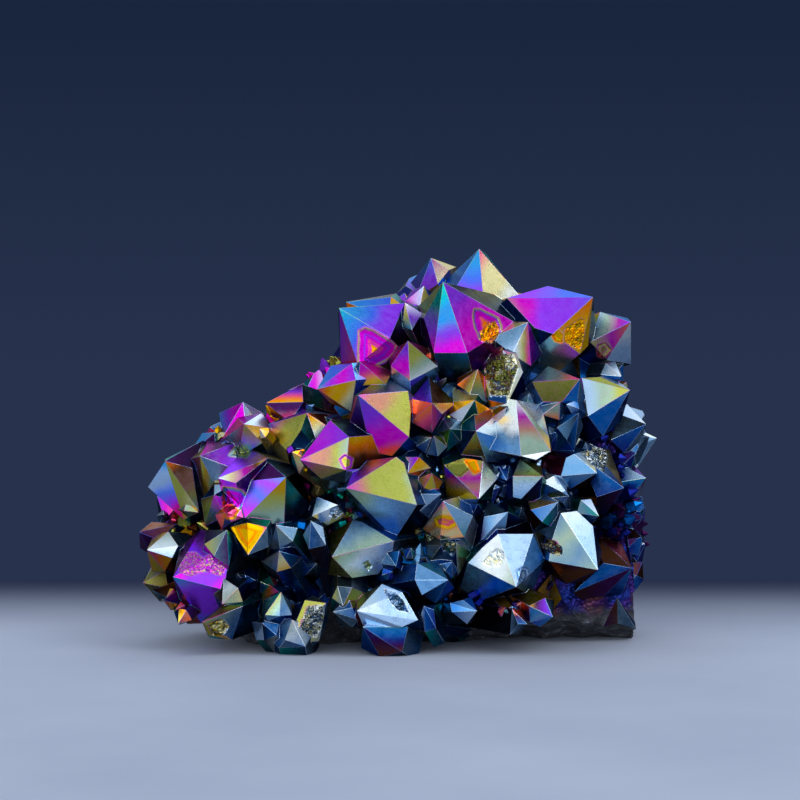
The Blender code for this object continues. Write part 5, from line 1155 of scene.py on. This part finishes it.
def wedged_crystals(tree, film, chance):
    """The wedged crystals as one fine shape, and its film's and ridges' colours corner by corner."""
    shape = bmesh.new()
    side = shape.faces.layers.int.new("side")
    sides = []
    for row in WEDGED.splitlines():
        if not row:
            continue
        head, _, tones = row.partition("|")
        across, height, width, proud, lean, clock = (float(word) for word in head.split())
        runs = [film.run(run) for run in tones.split("/")]
        way = Vector(sight_ray(across, height))
        around = [sight_ray(across + 0.5 * width * math.cos(turn), height + 0.5 * width * math.sin(turn))
                  for turn in np.linspace(0.0, 2.0 * math.pi, WEDGED_LOOKS, endpoint=False)]
        far = [hit[3] for hit in (tree.ray_cast(SIGHT_POINT, ray) for ray in around) if hit[0] is not None]
        tip = SIGHT_POINT + way * (float(np.median(far)) - proud)
        leaning = math.radians(clock)
        axis = (lean * (math.cos(leaning) * RIGHT + math.sin(leaning) * UPWARD) - FORWARD).normalized()
        one = axis.orthogonal().normalized()
        two = axis.cross(one)
        aside = [chance.uniform(-WEDGED_ASIDE, WEDGED_ASIDE) for _ in range(2)]
        middle = tip - axis * (WEDGED_HEAD * width) + (one * aside[0] + two * aside[1]) * width
        turn = chance.uniform(0.0, 2.0 * math.pi)
        ring = []
        for k in range(6):
            angle = turn + k * math.pi / 3.0
            reach = 0.5 * width * chance.uniform(*WEDGED_REACH)
            ring.append(middle + (one * math.cos(angle) + two * math.sin(angle)) * reach)
        foot = [shape.verts.new(place - axis * (WEDGED_STEM * width)) for place in ring]
        ring = [shape.verts.new(place) for place in ring]
        top = shape.verts.new(tip)
        for k in range(6):
            after = (k + 1) % 6
            of_head = (ring[k], ring[after], top)
            of_stem = (foot[k], foot[after], ring[after], ring[k])
            for corners, stem in ((of_head, 0.0), (of_stem, 1.0)):
                face = shape.faces.new(corners)
                face.normal_update()
                facing = math.atan2(face.normal.dot(UPWARD), face.normal.dot(RIGHT)) / (2.0 * math.pi)
                face[side] = len(sides)
                run = runs[round(facing * len(runs)) % len(runs)]
                sides.append((*run, tip, axis / (WEDGED_HEAD * width), stem))
        shape.faces.new(foot[::-1])[side] = len(sides) - 1
    bmesh.ops.subdivide_edges(shape, edges=shape.edges[:], cuts=3, use_grid_fill=True)
    bmesh.ops.triangulate(shape, faces=shape.faces[:])
    coat = []
    rim = []
    for face in shape.faces:
        places, colours, tip, axis, stem = sides[face[side]]
        for vert in face.verts:
            down = max((tip - vert.co).dot(axis) + DRIFT * noise.noise(vert.co / DRIFT_SIZE), stem)
            t = min(max(down, 0.0), 1.0) * (len(places) - 1)
            shade = 1.0 - WEDGED_STEM_SHADE * stem
            coat.append(blend(t, colours) * shade)
            rim.append(film.rim(blend(t, places)) * RIM_LIGHT * shade)
    return shape, np.array(coat), np.array(rim)


def wedged_piece(tree, film, chance, material):
    """The wedged crystals as a piece of their own, held inside the box of the solid."""
    shape, coat, rim = wedged_crystals(tree, film, chance)
    shape.normal_update()
    points = np.array([vert.co for vert in shape.verts])
    opened = openness(points, np.array([vert.normal for vert in shape.verts]), tree)
    for vert, place in zip(shape.verts, np.clip(points * MM, *SOLID_BOX)):
        vert.co = place
    mesh = bpy.data.meshes.new("wedged_points")
    shape.to_mesh(mesh)
    shape.free()
    put_attribute(mesh, "opened", "POINT", opened)
    put_attribute(mesh, "coat", "CORNER", coat)
    put_attribute(mesh, "rim", "CORNER", rim)
    return mesh_piece("wedged_points", mesh, material)


def roughen_rock(shape, rock):
    """Wears the host rock down, never out, in lumps and chips, but not its border with the crystals."""
    layer = shape.faces.layers.int["facet"]
    for vert in shape.verts:
        if any(face[layer] not in rock for face in vert.link_faces):
            continue
        lumps = 0.5 + 0.5 * noise.noise(vert.co / ROCK_LUMP)
        chips = 0.5 + 0.5 * noise.noise(vert.co / ROCK_CHIP)
        cracks = noise.cell(vert.co / ROCK_CRACK)
        sunk = Vector(vert.normal) * (ROCK_WORN * lumps + CHIPS_WORN * chips + CRACKS_WORN * cracks)
        if vert.co.z < BASE_LEVEL:
            sunk.z = 0.0
        vert.co -= sunk


def druse_ground(shape, rock, opened, film, chance):
    """The triangles that small points grow from, in crevices and on the rock, with those points' colours."""
    layer = shape.faces.layers.int["facet"]
    corners = np.array([[vert.co for vert in face.verts] for face in shape.faces])
    middles = corners.mean(axis=1)
    bare = opened[np.array([[vert.index for vert in face.verts] for face in shape.faces])].mean(axis=1)
    on_rock = np.isin([face[layer] for face in shape.faces], list(rock))
    low = np.array(SOLID_BOX[0]) / MM + DRUSE_CLEAR
    high = np.array(SOLID_BOX[1]) / MM - DRUSE_CLEAR
    wanted = ((middles > low) & (middles < high)).all(axis=1)
    rises = np.array([face.normal.z for face in shape.faces])
    away = np.array([face.normal.dot(FORWARD) for face in shape.faces])
    wanted &= np.where(on_rock, (middles[:, 2] > RAW_ROCK_TOP) & (rises > DRUSE_RISE),
                       (bare > DRUSE_OPEN[0]) & (bare < DRUSE_OPEN[1]) & (away >= -SHOW_SIDE))
    kept = np.nonzero(wanted)[0]
    seen = layout_places(middles[kept])
    regions = np.array([row[:2] for row in DRUSE_TONES])
    nearest = np.argmin(np.linalg.norm(seen[:, None] - regions[None], axis=2), axis=1)
    shades = [[film.at(tone_place(name)) for name in tones.split()] for _, _, tones in DRUSE_TONES]
    coat = [chance.choice(shades[region]) * chance.uniform(*DRUSE_GLOW) for region in nearest]
    mesh = bpy.data.meshes.new("druse_ground")
    mesh.from_pydata((corners[kept].reshape(-1, 3) * MM).tolist(), [],
                     np.arange(3 * len(kept)).reshape(-1, 3).tolist())
    put_attribute(mesh, "grown", "POINT", np.repeat(np.where(on_rock[kept], 1.0, DRUSE_IN_CREVICE), 3))
    put_attribute(mesh, "coat", "POINT", np.repeat(coat, 3, axis=0))
    return mesh


def druse_tree(material):
    """Geometry nodes that set small six-sided points on a ground, tilted and sized at random."""
    tree = bpy.data.node_groups.new("druse", "GeometryNodeTree")
    face = tree.interface
    face.new_socket("Ground", in_out="INPUT", socket_type="NodeSocketGeometry")
    for name, default in DRUSE_SIZES:
        socket = face.new_socket(name, in_out="INPUT", socket_type="NodeSocketFloat")
        socket.default_value = default
    face.new_socket("Points", in_out="OUTPUT", socket_type="NodeSocketGeometry")
    sizes = add(tree, "NodeGroupInput")
    grown = add(tree, "GeometryNodeInputNamedAttribute", {"data_type": "FLOAT", "Name": "grown"})
    amount = add(tree, "ShaderNodeMath", {"operation": "MULTIPLY"}, {0: grown, 1: sizes.outputs["Density"]})
    spread = add(tree, "GeometryNodeDistributePointsOnFaces", {"distribute_method": "RANDOM", "Seed": SEED},
                 {"Mesh": sizes.outputs["Ground"], "Density": amount})
    stem = add(tree, "GeometryNodeMeshCone", {"fill_type": "NGON", "Vertices": 6, "Radius Top": 0.47,
                                              "Radius Bottom": 0.5, "Depth": 0.55})
    head = add(tree, "GeometryNodeMeshCone", {"fill_type": "NONE", "Vertices": 6, "Radius Top": 0.0,
                                              "Radius Bottom": 0.47, "Depth": 0.52})
    raised = add(tree, "GeometryNodeTransform", {"Translation": (0.0, 0.0, 0.55)}, {"Geometry": head})
    joined = add(tree, "GeometryNodeJoinGeometry")
    for part in (stem, raised):
        tree.links.new(part.outputs[0], joined.inputs[0])
    point = add(tree, "GeometryNodeMergeByDistance", {"Distance": 0.001}, {"Geometry": joined})
    tilt = add(tree, "FunctionNodeRandomValue", {"data_type": "FLOAT_VECTOR", "Seed": SEED + 1})
    tilt.inputs[0].default_value = (-DRUSE_TILT, -DRUSE_TILT, 0.0)
    tilt.inputs[1].default_value = (DRUSE_TILT, DRUSE_TILT, 2.0 * math.pi)
    turned = add(tree, "FunctionNodeRotateRotation", {"rotation_space": "LOCAL"},
                 {"Rotation": spread.outputs["Rotation"], "Rotate By": tilt})
    luck = add(tree, "FunctionNodeRandomValue", {"data_type": "FLOAT", "Seed": SEED + 2})
    few_big = add(tree, "ShaderNodeMath", {"operation": "POWER", 1: 2.2}, {0: luck.outputs[1]})
    size = add(tree, "ShaderNodeMapRange", {}, {"Value": few_big, "To Min": sizes.outputs["Smallest"],
                                                "To Max": sizes.outputs["Largest"]})
    length = add(tree, "FunctionNodeRandomValue", {"data_type": "FLOAT", "Seed": SEED + 3})
    length.inputs[2].default_value, length.inputs[3].default_value = DRUSE_LENGTH
    tall = add(tree, "ShaderNodeMath", {"operation": "MULTIPLY"}, {0: size, 1: length.outputs[1]})
    slim = add(tree, "ShaderNodeCombineXYZ", {}, {"X": size, "Y": size, "Z": tall})
    placed = add(tree, "GeometryNodeInstanceOnPoints", {},
                 {"Points": spread.outputs["Points"], "Instance": point,
                  "Rotation": turned, "Scale": slim})
    real = add(tree, "GeometryNodeRealizeInstances", {}, {"Geometry": placed})
    coated = add(tree, "GeometryNodeSetMaterial", {"Material": material}, {"Geometry": real})
    out = add(tree, "NodeGroupOutput")
    tree.links.new(coated.outputs[0], out.inputs["Points"])
    return tree


def druse_piece(ground, material, settings):
    """The small points as a plain mesh of their own, held inside the box of the solid."""
    carrier = bpy.data.objects.new("small_points", ground)
    bpy.context.scene.collection.objects.link(carrier)
    tree = druse_tree(material)
    modifier = carrier.modifiers.new("druse", "NODES")
    modifier.node_group = tree
    for item in tree.interface.items_tree:
        if hasattr(settings, "druse_" + item.name.lower()):
            modifier[item.identifier] = getattr(settings, "druse_" + item.name.lower())
    evaluated = carrier.evaluated_get(bpy.context.evaluated_depsgraph_get())
    mesh = bpy.data.meshes.new_from_object(evaluated)
    carrier.modifiers.clear()
    points = np.empty(3 * len(mesh.vertices))
    mesh.vertices.foreach_get("co", points)
    points = np.clip(points.reshape(-1, 3), *SOLID_BOX)
    mesh.vertices.foreach_set("co", points.ravel())
    mesh.name = "small_points"
    carrier.data = mesh
    put_attribute(mesh, "opened", "POINT", np.full(len(mesh.vertices), 0.6))
    return carrier


class FilmColours(bpy.types.PropertyGroup):
    """The film's tones."""

    __annotations__ = {
        name: FloatVectorProperty(
            name=name.title(), description=f"Colour of the film where it is {name}", subtype="COLOR", size=3,
            min=0.0, max=1.0, default=linear(code))
        for name, code in FILM_TONES
    }


class DruseSizes(bpy.types.PropertyGroup):
    """The small points' sizes."""

    druse_density: FloatProperty(
        name="Density", description="Small points to a square metre", default=DRUSE_SIZES[0][1], min=0.0)
    druse_smallest: FloatProperty(
        name="Smallest", description="Width of the smallest point", default=DRUSE_SIZES[1][1], unit="LENGTH")
    druse_largest: FloatProperty(
        name="Largest", description="Width of the largest point", default=DRUSE_SIZES[2][1], unit="LENGTH")


class StageSizes(bpy.types.PropertyGroup):
    """The floor's and the lights' settings."""

    floor_width: FloatProperty(
        name="Floor width", description="Width of the floor", default=2.4, unit="LENGTH")
    floor_behind: FloatProperty(
        name="Floor behind", description="How far the floor goes on behind the cluster", default=FLOOR_BEHIND,
        unit="LENGTH")
    brightness: FloatProperty(
        name="Brightness", description="Strength of all the lights together", default=1.0, min=0.0)


class AURA_OT_skin(bpy.types.Operator):
    """Coated quartz points and the rock that shows between them"""

    bl_idname = "aura.skin"
    bl_label = "Coated points and host rock"

    def execute(self, context):
        film = Film(context.scene.aura_film)
        shape, tree, facets, rock, normals, middles, runs, marks, chance = dressed_skin(film)
        coat, rim = coat_on(shape, facets, normals, middles, runs, marks, chance, film)
        points = np.array([vert.co for vert in shape.verts])
        facing = np.array([vert.normal for vert in shape.verts])
        opened = openness(points, facing, tree)
        carve_marks(shape, marks, normals)
        ground = druse_ground(shape, rock, opened, film, random.Random(SEED))
        roughen_rock(shape, rock)
        coating = film_over_quartz()
        shape.faces.index_update()
        for name, wanted, material in (
                ("coated_points", lambda n: n not in rock, coating),
                ("host_rock", lambda n: n in rock, broken_rock())):
            mesh, used, faces = plain_mesh(shape, name, wanted)
            corners = np.array([3 * face.index + k for face in faces for k in range(3)])
            put_attribute(mesh, "opened", "POINT", opened[used])
            if name == "coated_points":
                put_attribute(mesh, "coat", "CORNER", coat[corners])
                put_attribute(mesh, "rim", "CORNER", rim[corners])
            else:
                across, _, height = points[used].T
                reach = (height - np.where(across > COATED_FROM, *FILM_STOPS)) / FILM_FADES
                put_attribute(mesh, "film", "POINT", np.clip(reach, 0.0, 1.0))
            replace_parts(mesh_piece(name, mesh, material), SOLID)
        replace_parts(wedged_piece(tree, film, random.Random(SEED), coating), SOLID)
        small = druse_piece(ground, coating, context.scene.aura_druse)
        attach(small, "root")
        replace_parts(small, SOLID)
        shape.free()
        return {"FINISHED"}


def panel_light(name, place, size, radiance, colour):
    """A soft light panel turned to the cluster. Its radiance is what a mirror would show of it."""
    data = bpy.data.lights.new(name, "AREA")
    data.shape = "RECTANGLE"
    data.size, data.size_y = size
    data.energy = radiance * math.pi * size[0] * size[1]
    data.color = linear(colour)
    lamp = bpy.data.objects.new(name, data)
    lamp.location = place
    lamp.rotation_euler = (Vector((0.0, 0.0, 0.04)) - Vector(place)).to_track_quat("-Z", "Y").to_euler()
    lamp.visible_camera = False
    bpy.context.scene.collection.objects.link(lamp)


def soft_room():
    """Light from all round: dark slate behind the cluster, pale overhead and in front of it."""
    world = bpy.data.worlds.new("soft_dome")
    bpy.context.scene.world = world
    world.use_nodes = True
    tree = world.node_tree
    tree.nodes.clear()
    way = add(tree, "ShaderNodeTexCoord")
    parts = add(tree, "ShaderNodeSeparateXYZ", {}, {0: way.outputs["Generated"]})
    rise = add(tree, "ShaderNodeMapRange", span(-1.0, 1.0), {"Value": parts.outputs["Z"]})
    ramp = add(tree, "ShaderNodeValToRGB", {}, {"Fac": rise})
    set_stops(ramp, [(0.5 + 0.5 * sine, code) for sine, code in ROOM_COLOURS])
    before = add(tree, "ShaderNodeMapRange", span(0.0, -0.7), {"Value": parts.outputs["Y"]})
    colour = add(tree, "ShaderNodeMix", {"data_type": "RGBA", 7: opaque(BEFORE_COLOUR)},
                 {0: before, 6: ramp.outputs["Color"]})
    light = add(tree, "ShaderNodeBackground", {"Strength": 1.0}, {"Color": colour.outputs[2]})
    add(tree, "ShaderNodeOutputWorld", {}, {"Surface": light})


def floor_finish():
    """Painted board, sanded and matt: an even pale blue-grey, faintly mottled, in shade at the back."""
    material, tree = new_material("matt_painted_board")
    where = add(tree, "ShaderNodeTexCoord")
    parts = add(tree, "ShaderNodeSeparateXYZ", {}, {0: where.outputs["Object"]})
    mottle = add(tree, "ShaderNodeTexNoise", {"Scale": 14.0, "Detail": 4.0},
                 {"Vector": where.outputs["Object"]})
    ramp = add(tree, "ShaderNodeValToRGB", {}, {"Fac": mottle.outputs["Fac"]})
    set_stops(ramp, FLOOR_STOPS)
    far = add(tree, "ShaderNodeMapRange",
              {"interpolation_type": "SMOOTHSTEP", **span(SHADE_FROM, FLOOR_BEHIND)},
              {"Value": parts.outputs["Y"]})
    shade = add(tree, "ShaderNodeMix", {"data_type": "RGBA", 7: opaque(SHADE_COLOUR)},
                {0: far, 6: ramp.outputs["Color"]})
    surface = add(tree, "ShaderNodeBsdfPrincipled", {"Roughness": 0.8, "Specular IOR Level": 0.0},
                  {"Base Color": shade.outputs[2]})
    add(tree, "ShaderNodeOutputMaterial", {}, {"Surface": surface})
    return material


class AURA_OT_stage(bpy.types.Operator):
    """Plain pale floor, soft light panels and the camera at the sight point"""

    bl_idname = "aura.stage"
    bl_label = "Floor, light and camera"

    def execute(self, context):
        sizes = context.scene.aura_stage
        half = 0.5 * sizes.floor_width
        shape = bmesh.new()
        corners = [(-half, -half), (half, -half), (half, sizes.floor_behind), (-half, sizes.floor_behind)]
        shape.faces.new([shape.verts.new((x, y, 0.0)) for x, y in corners])
        mesh = bpy.data.meshes.new("floor")
        shape.to_mesh(mesh)
        shape.free()
        mesh.materials.append(floor_finish())
        floor = bpy.data.objects.new("floor", mesh)
        context.scene.collection.objects.link(floor)
        for name, place, size, radiance, colour in LIGHT_PANELS:
            panel_light(name, place, size, radiance * sizes.brightness, colour)
        soft_room()
        camera = bpy.data.cameras.new("camera")
        camera.lens = LENS
        camera.sensor_width = SENSOR
        camera.clip_start = 0.01
        camera.clip_end = 20.0
        eye = bpy.data.objects.new("camera", camera)
        eye.location = SIGHT_POINT * MM
        eye.rotation_euler = FORWARD.to_track_quat("-Z", "Y").to_euler()
        context.scene.collection.objects.link(eye)
        context.scene.camera = eye
        context.scene.view_settings.view_transform = "Standard"
        context.scene.view_settings.look = "None"
        context.scene.view_settings.exposure = EXPOSURE
        return {"FINISHED"}


class AURA_PT_panel(bpy.types.Panel):
    """The cluster's pieces, in the order in which they are made"""

    bl_idname = "AURA_PT_panel"
    bl_label = "Aura Quartz Cluster"
    bl_space_type = "VIEW_3D"
    bl_region_type = "UI"
    bl_category = "Aura Quartz"

    def draw(self, context):
        for name, _ in FILM_TONES:
            self.layout.prop(context.scene.aura_film, name)
        for name in ("druse_density", "druse_smallest", "druse_largest"):
            self.layout.prop(context.scene.aura_druse, name)
        for name in ("floor_width", "floor_behind", "brightness"):
            self.layout.prop(context.scene.aura_stage, name)
        for operator in (AURA_OT_skin, AURA_OT_stage):
            self.layout.operator(operator.bl_idname)


CLASSES = (FilmColours, DruseSizes, StageSizes, AURA_OT_skin, AURA_OT_stage, AURA_PT_panel)


def register():
    for item in CLASSES:
        bpy.utils.register_class(item)
    bpy.types.Scene.aura_film = PointerProperty(type=FilmColours)
    bpy.types.Scene.aura_druse = PointerProperty(type=DruseSizes)
    bpy.types.Scene.aura_stage = PointerProperty(type=StageSizes)


def unregister():
    del bpy.types.Scene.aura_stage
    del bpy.types.Scene.aura_druse
    del bpy.types.Scene.aura_film
    for item in reversed(CLASSES):
        bpy.utils.unregister_class(item)


def main():
    register()
    bpy.ops.aura.skin()
    bpy.ops.aura.stage()


if __name__ == "__main__":
    main()
